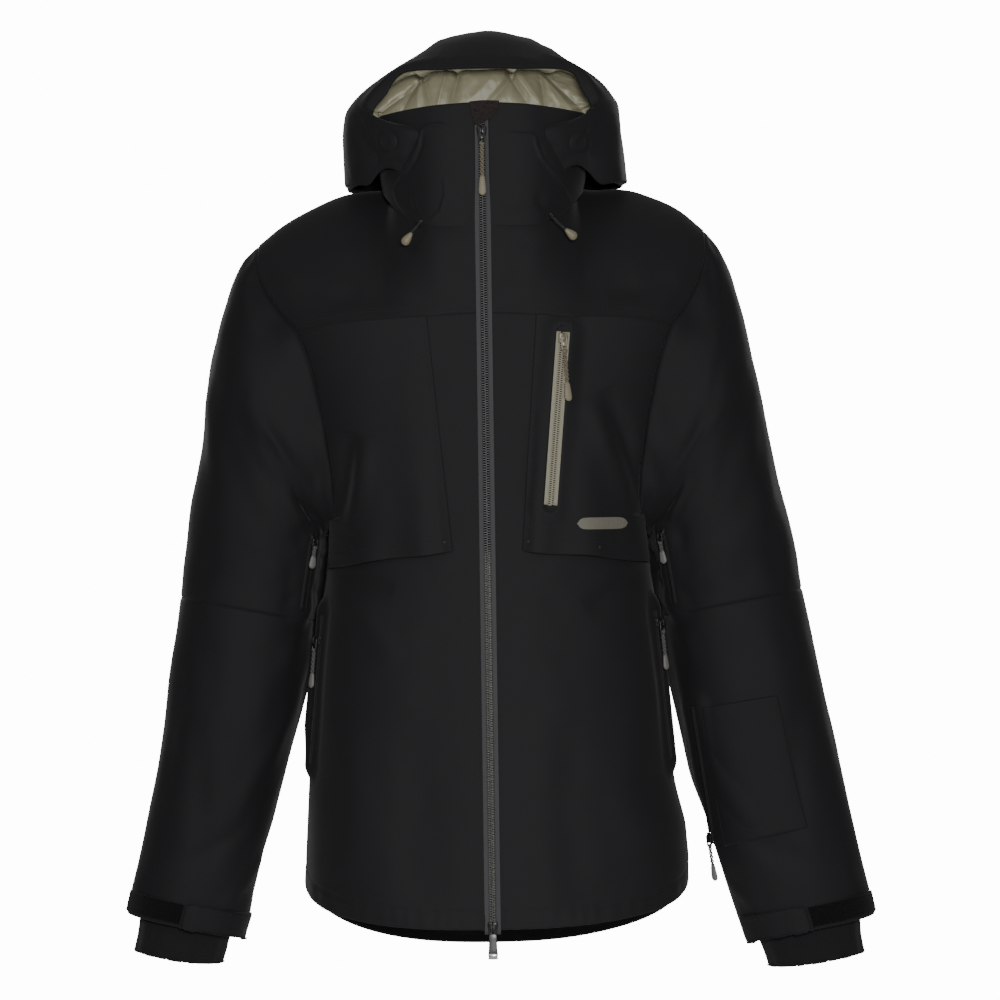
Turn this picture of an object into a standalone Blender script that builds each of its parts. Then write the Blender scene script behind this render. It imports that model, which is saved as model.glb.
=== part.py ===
"""Hooded ski jacket with a two-way front zip, hung upright with the front zip closed.

Metres, +Z up. The front faces -Y and the wearer's left is +X. The origin is where a hook
bears inside the hanger loop, at the back of the neck. Each sub-part is one closed solid.
"""
import math

import bmesh
import bpy
from mathutils import Matrix, Vector

MM = 0.001

# Driving dimensions
PANEL = 2.5 * MM            # thickness of an insulated panel
PLY = 1.2 * MM              # thickness of a single layer of shell fabric
SEAM = 1.2 * MM             # gap between neighbouring panels at a seam
MIDDLE_Y = -0.075           # plane of the side seams
ZIP_TOP = Vector((0.0, -0.175, 0.083))
ZIP_BOTTOM = Vector((0.0, -0.235, -0.784))
ZIP_EDGE = 8.8 * MM         # half width left free for the front zip
BODY_POWER = 2.5            # superellipse power of the body's sections
SLEEVE_POWER = 2.2
YOKE_FRONT = -0.134         # height of the front yoke seam at the zip
YOKE_DROP = 0.017           # fall of that seam from the zip to the armhole
YOKE_BACK = -0.155          # height of the back yoke seam
ARMPIT = -0.365
SHOULDER_TIP = Vector((0.232, MIDDLE_Y, -0.062))
HEM_FRONT = -0.779          # front hem at the zip
HEM_SIDE = -0.735
HEM_BACK = -0.812
NAPE = Vector((0.0, 0.022, -0.002))     # axis on which the hood folds back
HOOD_LINING_GAP = 3.5 * MM

# Height, half width and back depth of the body's sections
BODY = [
    (-0.830, 0.2045, 0.074), (-0.735, 0.2015, 0.068), (-0.540, 0.1895, 0.053),
    (-0.450, 0.1790, 0.050), (-0.365, 0.1720, 0.053), (-0.300, 0.1840, 0.056),
    (-0.200, 0.2150, 0.054), (-0.150, 0.2350, 0.050), (-0.060, 0.2460, 0.030),
]
# Height of the armhole, and its distance from the middle at the front and at the back
ARMHOLE = [
    (-0.365, 0.1720, 0.1720), (-0.350, 0.1630, 0.1660), (-0.279, 0.1660, 0.1800),
    (-0.198, 0.1810, 0.2010), (-0.152, 0.1980, 0.2130), (-0.134, 0.2140, 0.2190),
    (-0.100, 0.2300, 0.2290), (-0.062, 0.2320, 0.2320),
]
# Sleeve sections: outer x and z, inner x and z, half depth
SLEEVE = [
    (0.2610, -0.104, 0.1752, -0.374, 0.083), (0.2795, -0.163, 0.1762, -0.384, 0.082),
    (0.2930, -0.240, 0.1795, -0.398, 0.079), (0.3100, -0.330, 0.1840, -0.420, 0.075),
    (0.3255, -0.430, 0.1890, -0.458, 0.070), (0.3455, -0.541, 0.2020, -0.568, 0.066),
    (0.3655, -0.646, 0.2260, -0.675, 0.061), (0.3920, -0.760, 0.2650, -0.788, 0.053),
]
ELBOW_SECTION = 4           # index in SLEEVE of the elbow seam


def clear_scene():
    for item in list(bpy.data.objects):
        bpy.data.objects.remove(item, do_unlink=True)


def material(name, color, roughness, metallic=0.0):
    made = bpy.data.materials.new(name)
    made.use_nodes = True
    shader = made.node_tree.nodes["Principled BSDF"]
    shader.inputs["Base Color"].default_value = (*color, 1.0)
    shader.inputs["Roughness"].default_value = roughness
    shader.inputs["Metallic"].default_value = metallic
    return made


def add(name, mesh, finish, matrix=None):
    """A named object on the scene, with its own copy of the finish."""
    thing = bpy.data.objects.new(name, mesh)
    bpy.context.scene.collection.objects.link(thing)
    color, roughness, metallic = finish
    mesh.materials.clear()
    mesh.materials.append(material(name, color, roughness, metallic))
    if matrix is not None:
        thing.matrix_world = matrix
    return thing


SHELL = ((0.014, 0.014, 0.0155), 0.75, 0.0)
SLEEVE_CLOTH = ((0.012, 0.012, 0.013), 0.75, 0.0)
LINING = ((0.181, 0.168, 0.109), 0.45, 0.0)
KHAKI = ((0.190, 0.170, 0.120), 0.6, 0.0)
TAPE = ((0.045, 0.045, 0.047), 0.8, 0.0)
METAL = ((0.020, 0.020, 0.021), 0.3, 0.9)
FUZZ = ((0.008, 0.008, 0.008), 0.95, 0.0)


def along(table, height, column):
    """Smooth reading of one column of a table whose first column is the height."""
    last = len(table) - 1
    height = min(max(height, table[0][0]), table[last][0])
    k = 0
    while k < last - 1 and height > table[k + 1][0]:
        k += 1
    before, low, high, after = (table[min(max(k + d, 0), last)] for d in (-1, 0, 1, 2))
    span = high[0] - low[0]
    t = (height - low[0]) / span
    slope_low = (high[column] - before[column]) / max(high[0] - before[0], span)
    slope_high = (after[column] - low[column]) / max(after[0] - low[0], span)
    return (
        (2 * t**3 - 3 * t**2 + 1) * low[column]
        + (t**3 - 2 * t**2 + t) * span * slope_low
        + (3 * t**2 - 2 * t**3) * high[column]
        + (t**3 - t**2) * span * slope_high
    )


def mix(a, b, t):
    return a + (b - a) * t


def front_y(height):
    """Depth of the straight front line that the zip lies on."""
    t = (height - ZIP_TOP.z) / (ZIP_BOTTOM.z - ZIP_TOP.z)
    return mix(ZIP_TOP.y, ZIP_BOTTOM.y, t)


def bulge(value, power):
    return math.copysign(abs(value) ** (2.0 / power), value)


def torso(angle, height, inset=0.0):
    """Point of the body at an angle in degrees: 0 front, 90 wearer's left, 180 back."""
    turn = math.radians(angle)
    width = along(BODY, height, 1) - inset
    depth = MIDDLE_Y - front_y(height) if math.cos(turn) > 0 else along(BODY, height, 2) - MIDDLE_Y
    x = width * bulge(math.sin(turn), BODY_POWER)
    y = MIDDLE_Y - (depth - inset) * bulge(math.cos(turn), BODY_POWER)
    return Vector((x, y, height))


def angle_at(x, height):
    """Angle from the front at which the body's section reaches x."""
    ratio = min(x / along(BODY, height, 1), 1.0)
    return math.degrees(math.asin(ratio ** (BODY_POWER / 2.0)))


def armhole(height, back=False):
    """Point of the wearer's left armhole; it closes onto the shoulder tip."""
    x = along(ARMHOLE, height, 2 if back else 1)
    angle = angle_at(x, height)
    point = torso(180 - angle if back else angle, height)
    rise = max(0.0, (height + 0.120) / (SHOULDER_TIP.z + 0.120))
    point.y = mix(MIDDLE_Y, point.y, math.sqrt(max(0.0, 1.0 - rise * rise)))
    return point


def yoke_seam(x):
    return YOKE_FRONT - YOKE_DROP * min(abs(x) / 0.2, 1.0) ** 1.5


def hem_front(angle):
    side = max(0.0, (angle - 55.0) / 35.0)
    return mix(HEM_FRONT + 0.012 * (angle / 90.0) ** 2, HEM_SIDE, side * side * side)


def hem_back(angle):
    """Height of the back hem, for an angle from 90 to 270."""
    return mix(HEM_SIDE, HEM_BACK, math.sin(math.radians(angle - 90)) ** 0.5)


def mirrored(grid):
    """The same grid on the wearer's right, still facing out."""
    return [[Vector((-p.x, p.y, p.z)) for p in reversed(row)] for row in grid]


def surface(grid, closed=False):
    """Mesh of a grid of points; rows run upwards, columns to the right as seen from outside."""
    mesh = bpy.data.meshes.new("surface")
    columns = len(grid[0])
    faces = []
    for row in range(len(grid) - 1):
        for column in range(columns if closed else columns - 1):
            after = (column + 1) % columns
            low, high = row * columns, (row + 1) * columns
            faces.append((low + column, low + after, high + after, high + column))
    mesh.from_pydata([p for row in grid for p in row], [], faces)
    mesh.shade_smooth()
    return mesh


def sheet(name, grid, thickness, finish, closed=False):
    """A panel of cloth: the grid is its outer face and the thickness goes inwards."""
    thing = add(name, surface(grid, closed), finish)
    solid = thing.modifiers.new("thickness", "SOLIDIFY")
    solid.thickness = thickness
    solid.offset = -1.0
    return thing


def pair(name, grid, thickness, finish, closed=False):
    """The wearer's left piece from the grid, and its mirror image on the right."""
    sheet(name + "_left", grid, thickness, finish, closed)
    sheet(name + "_right", mirrored(grid), thickness, finish, closed)


def coons(bottom, top, left, right, columns, rows):
    """Grid blended between four edge curves, each a function of 0 to 1."""
    grid = []
    for j in range(rows + 1):
        t = j / rows
        row = []
        for i in range(columns + 1):
            s = i / columns
            edges = mix(bottom(s), top(s), t) + mix(left(t), right(t), s)
            low = mix(bottom(0), bottom(1), s)
            high = mix(top(0), top(1), s)
            row.append(edges - mix(low, high, t))
        grid.append(row)
    return grid


def polyline(points):
    """Function of 0 to 1 along straight stretches, each taking an equal share."""
    def at(t):
        place = min(t, 0.999999) * (len(points) - 1)
        k = int(place)
        return mix(Vector(points[k]), Vector(points[k + 1]), place - k)
    return at


def arc(points):
    """Smooth function of 0 to 1 through all the points."""
    points = [Vector(p) for p in points]

    def at(t):
        place = min(max(t, 0.0), 0.999999) * (len(points) - 1)
        k = int(place)
        f = place - k
        p0, p1 = points[max(k - 1, 0)], points[k]
        p2, p3 = points[k + 1], points[min(k + 2, len(points) - 1)]
        return 0.5 * (
            2 * p1 + (p2 - p0) * f + (2 * p0 - 5 * p1 + 4 * p2 - p3) * f * f
            + (3 * p1 - p0 - 3 * p2 + p3) * f * f * f
        )
    return at


# ---- body panels -------------------------------------------------------------------------

def front_panels():
    columns, rows = 8, 12
    grid = []
    for j in range(rows + 1):
        row = []
        for i in range(columns + 1):
            s = i / columns
            low = hem_front(90 * s)
            high = yoke_seam(torso(mix(3.0, angle_at(0.198, YOKE_FRONT), s), YOKE_FRONT).x) - SEAM
            height = mix(low, high, j / rows)
            start = angle_at(ZIP_EDGE, height)
            end = 89.6
            if height > ARMPIT:
                end = angle_at(along(ARMHOLE, height, 1) - SEAM, height)
            row.append(torso(mix(start, end, s), height))
        grid.append(row)
    pair("front_panel", grid, PANEL, SHELL)


def back_panel():
    columns, rows = 12, 9
    grid = []
    for j in range(rows + 1):
        row = []
        for i in range(columns + 1):
            s = i / columns
            low = hem_back(mix(90, 270, s))
            height = mix(low, YOKE_BACK - SEAM, j / rows)
            start = 90.4
            if height > ARMPIT:
                start = 180 - angle_at(along(ARMHOLE, height, 2) - SEAM, height)
            row.append(torso(mix(start, 360 - start, s), height))
        grid.append(row)
    sheet("back_panel", grid, PANEL, SHELL)


RIDGE_GAP = 3 * MM          # half of the gap between the yokes along the shoulder
RIDGE = [(0.110, -0.066, -0.003), (0.150, -0.069, -0.0150), (0.200, -0.073, -0.0365), tuple(SHOULDER_TIP)]
NECK_FRONT = [(ZIP_EDGE, -0.1838, -0.0425), (0.066, -0.172, -0.0400), (0.100, -0.125, -0.0200), RIDGE[0]]
NECK_BACK = [RIDGE[0], (0.092, -0.024, -0.0050), (0.050, 0.006, -0.0120), (0.0, 0.013, -0.0140)]


def front_yokes():
    def bottom(s):
        x = mix(ZIP_EDGE, 0.198 - SEAM, s)
        height = yoke_seam(x)
        return torso(angle_at(x, height), height)

    def left(t):
        height = mix(yoke_seam(0), -0.0435, t)
        return Vector((ZIP_EDGE, front_y(height), height))

    def right(t):
        point = armhole(mix(yoke_seam(0.2), SHOULDER_TIP.z, t))
        return point + Vector((-SEAM, -RIDGE_GAP * t, -0.001 * t))
    neck, ridge = arc(NECK_FRONT), arc(RIDGE)

    def top(s):
        point = neck(2 * s) if s < 0.5 else ridge(2 * s - 1)
        return point + Vector((0, -RIDGE_GAP * min(1, 2 * s), -0.001))
    grid = coons(bottom, top, left, right, 8, 6)
    for j, row in enumerate(grid):
        for i, point in enumerate(row):
            swell = 0.010 * math.sin(math.pi * j / 6) * math.sin(math.pi * i / 8)
            point += Vector((0, -0.8, 0.6)) * swell
    pair("front_yoke", grid, PANEL, SHELL)


def back_yoke():
    def bottom(s):
        start = 180 - angle_at(0.213 - SEAM, YOKE_BACK)
        return torso(mix(start, 360 - start, s), YOKE_BACK)

    def side(t):
        point = armhole(mix(YOKE_BACK, SHOULDER_TIP.z, t), back=True)
        return point + Vector((-SEAM, RIDGE_GAP * t, -0.001 * t))
    neck, ridge = arc(NECK_BACK), arc(RIDGE)

    def top(s):
        half = 2 * s if s < 0.5 else 2 - 2 * s
        point = ridge(1 - 2 * half) if half < 0.5 else neck(2 * half - 1)
        point = point + Vector((0, RIDGE_GAP, -0.001))
        return point if s < 0.5 else Vector((-point.x, point.y, point.z))

    def other(t):
        point = side(t)
        return Vector((-point.x, point.y, point.z))
    columns, rows = 16, 5
    grid = coons(bottom, top, side, other, columns, rows)
    for j, row in enumerate(grid):
        for i, point in enumerate(row):
            swell = 0.012 * math.sin(math.pi * j / rows) * math.sin(math.pi * i / columns)
            point += Vector((0, 0.7, 0.7)) * swell
    sheet("back_yoke", grid, PANEL, SHELL)


def body_lining():
    """One open tube of thin lining inside the body panels."""
    columns, rows = 16, 6
    grid = []
    for j in range(rows + 1):
        row = []
        for i in range(columns):
            angle = 360.0 * i / columns
            low = -0.768 if math.cos(math.radians(angle)) > 0.05 else hem_back(min(max(angle, 90), 270)) + 0.015
            height = mix(max(low, -0.795), -0.385, j / rows)
            row.append(torso(angle, height, inset=6 * MM))
        grid.append(row)
    sheet("body_lining", grid, PLY, LINING, closed=True)


def collars():
    """Front and side of the standing collar, in two halves that meet at the back."""
    low = arc([(ZIP_EDGE, -0.1835, -0.0410), (0.064, -0.170, -0.0385), (0.102, -0.118, -0.0120),
               (0.104, -0.050, -0.0005), (0.070, -0.002, -0.0060), (0.002, 0.0100, -0.0110)])
    high = arc([(ZIP_EDGE, -0.1755, 0.0830), (0.062, -0.166, 0.0830), (0.106, -0.125, 0.0760),
                (0.112, -0.060, 0.0680), (0.074, -0.003, 0.0560), (0.002, 0.0120, 0.0500)])
    grid = coons(low, high, lambda t: mix(low(0), high(0), t), lambda t: mix(low(1), high(1), t), 14, 4)
    pair("collar", grid, 2 * MM, SHELL)


def chest_panels():
    """Raised panels over the front, loose along their bottom edge."""
    def patch(inner_top, inner_low, low_in, low_out):
        columns, rows = 7, 6
        grid = []
        for j in range(rows + 1):
            t = j / rows
            row = []
            for i in range(columns + 1):
                s = i / columns
                bottom = mix(low_in, low_out, s)
                height = mix(bottom, yoke_seam(0.198 * s) - 3 * MM, t)
                inner = mix(inner_low, inner_top, t)
                outer = along(ARMHOLE, height, 1) - 5 * MM if height > -0.35 else 0.1585
                x = mix(inner, outer, s)
                row.append(torso(angle_at(x, height), height, inset=-(mix(5.0, 2.2, t ** 0.5) * MM)))
            grid.append(row)
        return grid
    sheet("chest_panel_left", patch(0.054, 0.037, -0.384, -0.397), PLY, SHELL)
    sheet("chest_panel_right", mirrored(patch(0.060, 0.037, -0.384, -0.398)), PLY, SHELL)


# ---- sleeves -----------------------------------------------------------------------------

def armhole_section(columns, step):
    """Closed section that starts at the shoulder tip and runs over the front."""
    middle, reach = (SHOULDER_TIP.z + ARMPIT) / 2, (SHOULDER_TIP.z - ARMPIT) / 2
    ring = []
    for i in range(columns):
        turn = 2 * math.pi * i / columns
        point = armhole(middle + reach * math.cos(turn), back=turn > math.pi)
        ring.append(point + Vector((0.55, 0, -0.83)) * step)
    return ring


def sleeve_section(k, columns, inset=0.0, slide=0.0):
    """Section k of the sleeve, from its outer side over the front to its inner side."""
    first = SLEEVE[int(k)]
    second = SLEEVE[min(int(k) + 1, len(SLEEVE) - 1)]
    ox, oz, ix, iz, depth = (mix(a, b, k - int(k)) for a, b in zip(first, second))
    outer, inner = Vector((ox, MIDDLE_Y, oz)), Vector((ix, MIDDLE_Y, iz))
    centre, half = (outer + inner) / 2, (outer - inner) / 2
    along_arm = Vector((-half.z, 0, half.x)).normalized()
    half = half * (1 - inset / half.length)
    ring = []
    for i in range(columns):
        turn = 2 * math.pi * i / columns
        point = centre + half * bulge(math.cos(turn), SLEEVE_POWER) - along_arm * slide
        point.y -= (depth - inset) * bulge(math.sin(turn), SLEEVE_POWER)
        ring.append(point)
    return ring


def sleeve_point(k, angle, lift=0.0):
    """Point of the sleeve: 0 degrees at its outer side, 90 at the front, 180 inside."""
    steps = 360
    return sleeve_section(k, steps, inset=-lift)[int(round(angle)) % steps]


def sleeves():
    columns = 16
    upper = [sleeve_section(k, columns) for k in range(ELBOW_SECTION, -1, -1)]
    upper.append(armhole_section(columns, 5 * MM))
    pair("upper_sleeve", [r[::-1] for r in upper], PANEL, SLEEVE_CLOTH, closed=True)
    lower = [sleeve_section(k, columns) for k in range(len(SLEEVE) - 1, ELBOW_SECTION, -1)]
    lower.append(sleeve_section(ELBOW_SECTION, columns, slide=SEAM))
    pair("lower_sleeve", [r[::-1] for r in lower], PANEL, SLEEVE_CLOTH, closed=True)


def gaiters():
    """Stretch cuffs inside the sleeve ends, reaching a little below them."""
    columns = 14
    last = len(SLEEVE) - 1
    rings = []
    for k, inset, slide in ((last, 15 * MM, 0.037), (last, 12 * MM, 0.004), (last - 0.35, 10 * MM, 0.0)):
        rings.append(sleeve_section(k, columns, inset, slide)[::-1])
    pair("wrist_gaiter", rings, PLY, SHELL, closed=True)


def cuff_patch_grid(start, end, low, high, lift, columns):
    """Band on the cuff between two angles, low and high measured up from the hem."""
    last = len(SLEEVE) - 1
    span = (Vector(SLEEVE[last][:2]) - Vector(SLEEVE[last - 1][:2])).length
    grid = []
    for rise in (low, high):
        grid.append([sleeve_point(last - rise / span, mix(start, end, i / columns), lift)
                     for i in range(columns + 1)][::-1])
    return grid


def cuff_closures():
    """Fuzzy loop patches, and the tabs that close beside them."""
    pair("cuff_loop_patch", cuff_patch_grid(8, 86, 0.004, 0.024, 1.8 * MM, 6), 1.2 * MM, FUZZ)
    pair("cuff_tab", cuff_patch_grid(90, 172, -0.006, 0.026, 2.6 * MM, 6), 1.6 * MM, SHELL)


# ---- hood --------------------------------------------------------------------------------

# Arches of the hood from brim to nape: half width, y and z at foot and at top, power
HOOD = [
    (0.1235, -0.146, 0.080, -0.122, 0.1245, 3.4), (0.1330, -0.138, 0.046, -0.098, 0.1540, 2.5),
    (0.1430, -0.118, 0.012, -0.056, 0.1700, 2.2), (0.1460, -0.086, -0.001, 0.000, 0.1660, 2.2),
    (0.1400, -0.048, 0.000, 0.056, 0.1400, 2.2), (0.1240, -0.012, 0.000, 0.086, 0.0950, 2.3),
    (0.0960, 0.012, 0.000, 0.076, 0.0450, 2.4), (0.0600, 0.020, 0.002, 0.040, 0.0060, 2.4),
]
HOOD_HEART = Vector((0.0, -0.030, 0.050))   # point inside the hood that its lining shrinks towards


def hood_grid(inset, columns, last=None):
    grid = []
    for width, foot_y, foot_z, top_y, top_z, power in HOOD[:last]:
        row = []
        for i in range(columns + 1):
            turn = math.pi * (i / columns - 0.5)
            rise = bulge(math.cos(turn), power)
            reach = (width - inset) * bulge(math.sin(turn), power)
            point = Vector((reach, mix(foot_y, top_y, rise), mix(foot_z, top_z, rise)))
            inward = Vector((0, HOOD_HEART.y - point.y, HOOD_HEART.z - point.z)) * rise
            if inward.length > 0:
                point += inward.normalized() * inset * rise
            row.append(point)
        grid.append(row[::-1])
    return grid


def hood():
    sheet("hood_shell", hood_grid(0.0, 16), 2 * MM, SHELL)
    sheet("hood_lining", hood_grid(HOOD_LINING_GAP + 2 * MM, 14, 6), PLY, LINING)


def hood_brim():
    """Stiffened band along the front edge of the hood."""
    columns = 14
    width, foot_y, foot_z, top_y, top_z, power = HOOD[0]
    rows = []
    for step in (0.013, 0.0035):
        row = []
        for i in range(columns + 1):
            turn = math.pi * (i / columns - 0.5) * 0.94
            rise = bulge(math.cos(turn), power)
            row.append(Vector((width * bulge(math.sin(turn), power),
                               mix(foot_y, top_y, rise) - step, mix(foot_z, top_z, rise) + 0.001)))
        rows.append(row)
    sheet("hood_brim", rows, 2.4 * MM, SHELL)


# ---- zips --------------------------------------------------------------------------------

def zip_frame(top, bottom, outward, origin=None):
    """Axes of a zip: Z up its length, -Y outwards, X across."""
    up = (Vector(top) - Vector(bottom)).normalized()
    out = Vector(outward)
    back = -(out - up * out.dot(up)).normalized()
    across = back.cross(up)
    turn = Matrix((across, back, up)).transposed().to_4x4()
    return Matrix.Translation(Vector(origin if origin is not None else top)) @ turn


def block(name, low, high, finish, matrix):
    """Box between two corners, in the axes of the matrix."""
    bm = bmesh.new()
    bmesh.ops.create_cube(bm, size=1.0)
    for v in bm.verts:
        v.co = Vector([mix(low[k], high[k], v.co[k] + 0.5) for k in range(3)])
    mesh = bpy.data.meshes.new(name)
    bm.to_mesh(mesh)
    bm.free()
    return add(name, mesh, finish, matrix)


def prism(outline, low, high, axis):
    """Mesh of an outline pushed along an axis; the outline holds the other two values."""
    bm = bmesh.new()
    points = [Vector((low, u, v) if axis == 0 else (u, v, low)) for u, v in outline]
    face = bm.faces.new([bm.verts.new(p) for p in points])
    moved = bmesh.ops.extrude_face_region(bm, geom=[face])["geom"]
    shift = Vector((high - low, 0, 0) if axis == 0 else (0, 0, high - low))
    bmesh.ops.translate(bm, verts=[g for g in moved if isinstance(g, bmesh.types.BMVert)], vec=shift)
    bmesh.ops.recalc_face_normals(bm, faces=bm.faces)
    mesh = bpy.data.meshes.new("prism")
    bm.to_mesh(mesh)
    bm.free()
    return mesh


def joined(thing, mesh, operation):
    """Add a Boolean to the thing; the other shape is a hidden guide."""
    other = bpy.data.objects.new(thing.name + "_" + operation.lower(), mesh)
    bpy.context.scene.collection.objects.link(other)
    other.matrix_world = thing.matrix_world.copy()
    other.hide_render = True
    other.display_type = "WIRE"
    cut = thing.modifiers.new(operation, "BOOLEAN")
    cut.operation = operation
    cut.object = other


# Sizes of a slider, before its scale: half width, half length, bridge and eye
SLIDER_HALF = 4.6 * MM
SLIDER_LONG = 5.2 * MM
PLATE_FACE = -3.3 * MM      # outer face of the slider's plate
GROOVE = 3.75 * MM          # half width of the groove over the teeth
PULL_AXIS = -5.0 * MM       # depth of the pull's axis in front of the zip


def slider(name, matrix, finish):
    """Plate with two side walls over the teeth, and the bridge that holds the pull."""
    face, floor, wall = PLATE_FACE, -1.6 * MM, -0.3 * MM
    outline = [(-SLIDER_HALF, face), (SLIDER_HALF, face), (SLIDER_HALF, wall), (GROOVE, wall),
               (GROOVE, floor), (-GROOVE, floor), (-GROOVE, wall), (-SLIDER_HALF, wall)]
    thing = add(name, prism(outline, -SLIDER_LONG, SLIDER_LONG, 2), finish, matrix)
    out, rise, inner = PULL_AXIS - 2.8 * MM, 3.0 * MM, 1.4 * MM
    bridge = [(face + 0.5 * MM, -rise), (out, -rise), (out, rise), (face + 0.5 * MM, rise),
              (face + 0.5 * MM, inner), (PULL_AXIS - inner, inner), (PULL_AXIS - inner, -inner),
              (face + 0.5 * MM, -inner)]
    joined(thing, prism(bridge, -1.3 * MM, 1.3 * MM, 0), "UNION")
    return thing


def pull(name, matrix, finish, sections, lean=0.0):
    """Pull that hangs from the bridge by its eye; sections give drop, width and thickness."""
    bm = bmesh.new()
    rings = []
    for drop, width, thick in sections:
        ring = []
        for cx, cy in ((-1, -0.5), (-0.5, -1), (0.5, -1), (1, -0.5), (1, 0.5), (0.5, 1), (-0.5, 1), (-1, 0.5)):
            ring.append(bm.verts.new((cx * width / 2 + lean * drop, cy * thick / 2, -drop)))
        rings.append(ring)
    for above, below in zip(rings, rings[1:]):
        for i in range(8):
            j = (i + 1) % 8
            bm.faces.new((above[j], above[i], below[i], below[j]))
    bm.faces.new(rings[0])
    bm.faces.new(rings[-1][::-1])
    bmesh.ops.recalc_face_normals(bm, faces=bm.faces)
    mesh = bpy.data.meshes.new(name)
    bm.to_mesh(mesh)
    bm.free()
    thing = add(name, mesh, finish, matrix @ Matrix.Translation((0, PULL_AXIS, 0)))
    eye = bmesh.new()
    bmesh.ops.create_cube(eye, size=1.0)
    for v in eye.verts:
        v.co = Vector((v.co.x * 3.6 * MM + lean * 3 * MM, v.co.y * 0.01, v.co.z * 4.4 * MM - 3.0 * MM))
    hole = bpy.data.meshes.new(name + "_eye")
    eye.to_mesh(hole)
    eye.free()
    joined(thing, hole, "DIFFERENCE")
    return thing


def cord_pull(length, tab):
    """Sections of a braided loop that ends in a moulded tab."""
    eye = [(-0.8, 5.4, 1.6), (6.8, 5.4, 1.6)]
    loop = [(8.6, 2.6, 2.0), (length - tab - 1, 2.6, 2.0)]
    grip = [(length - tab, 6.4, 3.2), (length - 0.4 * tab, 8.4, 3.8), (length - 2, 7.2, 3.4), (length, 4.0, 2.4)]
    return [tuple(v * MM for v in section) for section in eye + loop + grip]


METAL_PULL = [tuple(v * MM for v in s) for s in
              ((-0.8, 5.4, 1.6), (6.8, 5.4, 1.6), (9.0, 5.0, 1.8), (30.0, 6.6, 1.8), (33.0, 6.6, 1.8), (34.0, 4.8, 1.4))]


def front_zip():
    frame = zip_frame(ZIP_TOP, ZIP_BOTTOM, (0, -1, 0))
    length = (ZIP_TOP - ZIP_BOTTOM).length
    for side, name in ((1, "left"), (-1, "right")):
        teeth = sorted((side * 0.2 * MM, side * 3.3 * MM))
        tape = sorted((side * 3.7 * MM, side * 8.2 * MM))
        block("zip_teeth_" + name, (teeth[0], -1.2 * MM, -length), (teeth[1], 1.2 * MM, 0), METAL, frame)
        block("zip_tape_" + name, (tape[0], 0.1 * MM, -length), (tape[1], 1.1 * MM, 0), TAPE, frame)


MAIN_SLIDER_DROP = 0.0245   # from the zip's top end to the top slider
BOTTOM_SLIDER_RISE = 0.008  # from the zip's bottom end to the bottom slider


def on_zip(distance):
    """Frame of the front zip at a distance below its top end."""
    down = (ZIP_BOTTOM - ZIP_TOP).normalized()
    return zip_frame(ZIP_TOP, ZIP_BOTTOM, (0, -1, 0), ZIP_TOP + down * distance)


def front_sliders():
    top = on_zip(MAIN_SLIDER_DROP)
    slider("main_slider", top, METAL)
    pull("main_pull", top, KHAKI, cord_pull(69, 21))
    low = on_zip((ZIP_TOP - ZIP_BOTTOM).length - BOTTOM_SLIDER_RISE)
    slider("bottom_slider", low, METAL)
    pull("bottom_pull", low, METAL, METAL_PULL)


def zip_garage():
    """Soft flap over the top end of the zip."""
    outline = coons(polyline([(-0.0120, 0, 0.073), (0.0, 0, 0.065)]), polyline([(-0.0125, 0, 0.0875), (0.019, 0, 0.0875)]),
                    polyline([(-0.0120, 0, 0.073), (-0.0125, 0, 0.0875)]),
                    polyline([(0.0, 0, 0.065), (0.013, 0, 0.075), (0.019, 0, 0.0875)]), 4, 3)
    for row in outline:
        for point in row:
            point.y = front_y(point.z) - 3.2 * MM
    sheet("zip_garage", outline, PLY, FUZZ)


def short_zip(name, top, bottom, outward, slide, pull_sections, half=4.2 * MM, lean=0.0,
              tape_finish=TAPE, slider_finish=METAL):
    """A pocket or vent zip: tape with its teeth as one strip, a slider and a hanging pull."""
    top, bottom = Vector(top), Vector(bottom)
    frame = zip_frame(top, bottom, outward)
    length = (top - bottom).length
    wide, teeth = half, 3.0 * MM
    outline = [(-wide, 0.1 * MM), (-teeth, 0.1 * MM), (-teeth, -1.2 * MM), (teeth, -1.2 * MM),
               (teeth, 0.1 * MM), (wide, 0.1 * MM), (wide, 1.0 * MM), (-wide, 1.0 * MM)]
    add(name + "_zip", prism(outline, -length, 0, 2), tape_finish, frame)
    place = zip_frame(top, bottom, outward, top + (bottom - top).normalized() * slide)
    slider(name + "_slider", place, slider_finish)
    pull(name + "_pull", place, KHAKI, pull_sections, lean)


def body_zip_ends(angle, high, low, lift):
    return torso(angle, high, inset=-lift), torso(angle, low, inset=-lift)


def outward_at(angle, height):
    near, far = torso(angle, height), torso(angle, height, inset=-0.01)
    side = torso(angle + 1, height) - torso(angle - 1, height)
    normal = Vector((side.y, -side.x, 0)).normalized()
    return normal if normal.dot(far - near) > 0 else -normal


CHEST_ZIP = ((0.0830, -0.155), (0.0670, -0.337))
HAND_ZIP = (75.0, -0.450, -0.610)          # angle on the body, top and bottom heights
HAND_OUTWARD = (0.78, -0.626, 0.0)         # way that the hand pockets face, on the wearer's left
HAND_SLIDES = (14 * MM, 28 * MM)           # how far down each slider is, wearer's left then right
VENT_SPAN = (0.9, ELBOW_SECTION - 0.25)     # sections of the sleeve that the vent reaches


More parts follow.
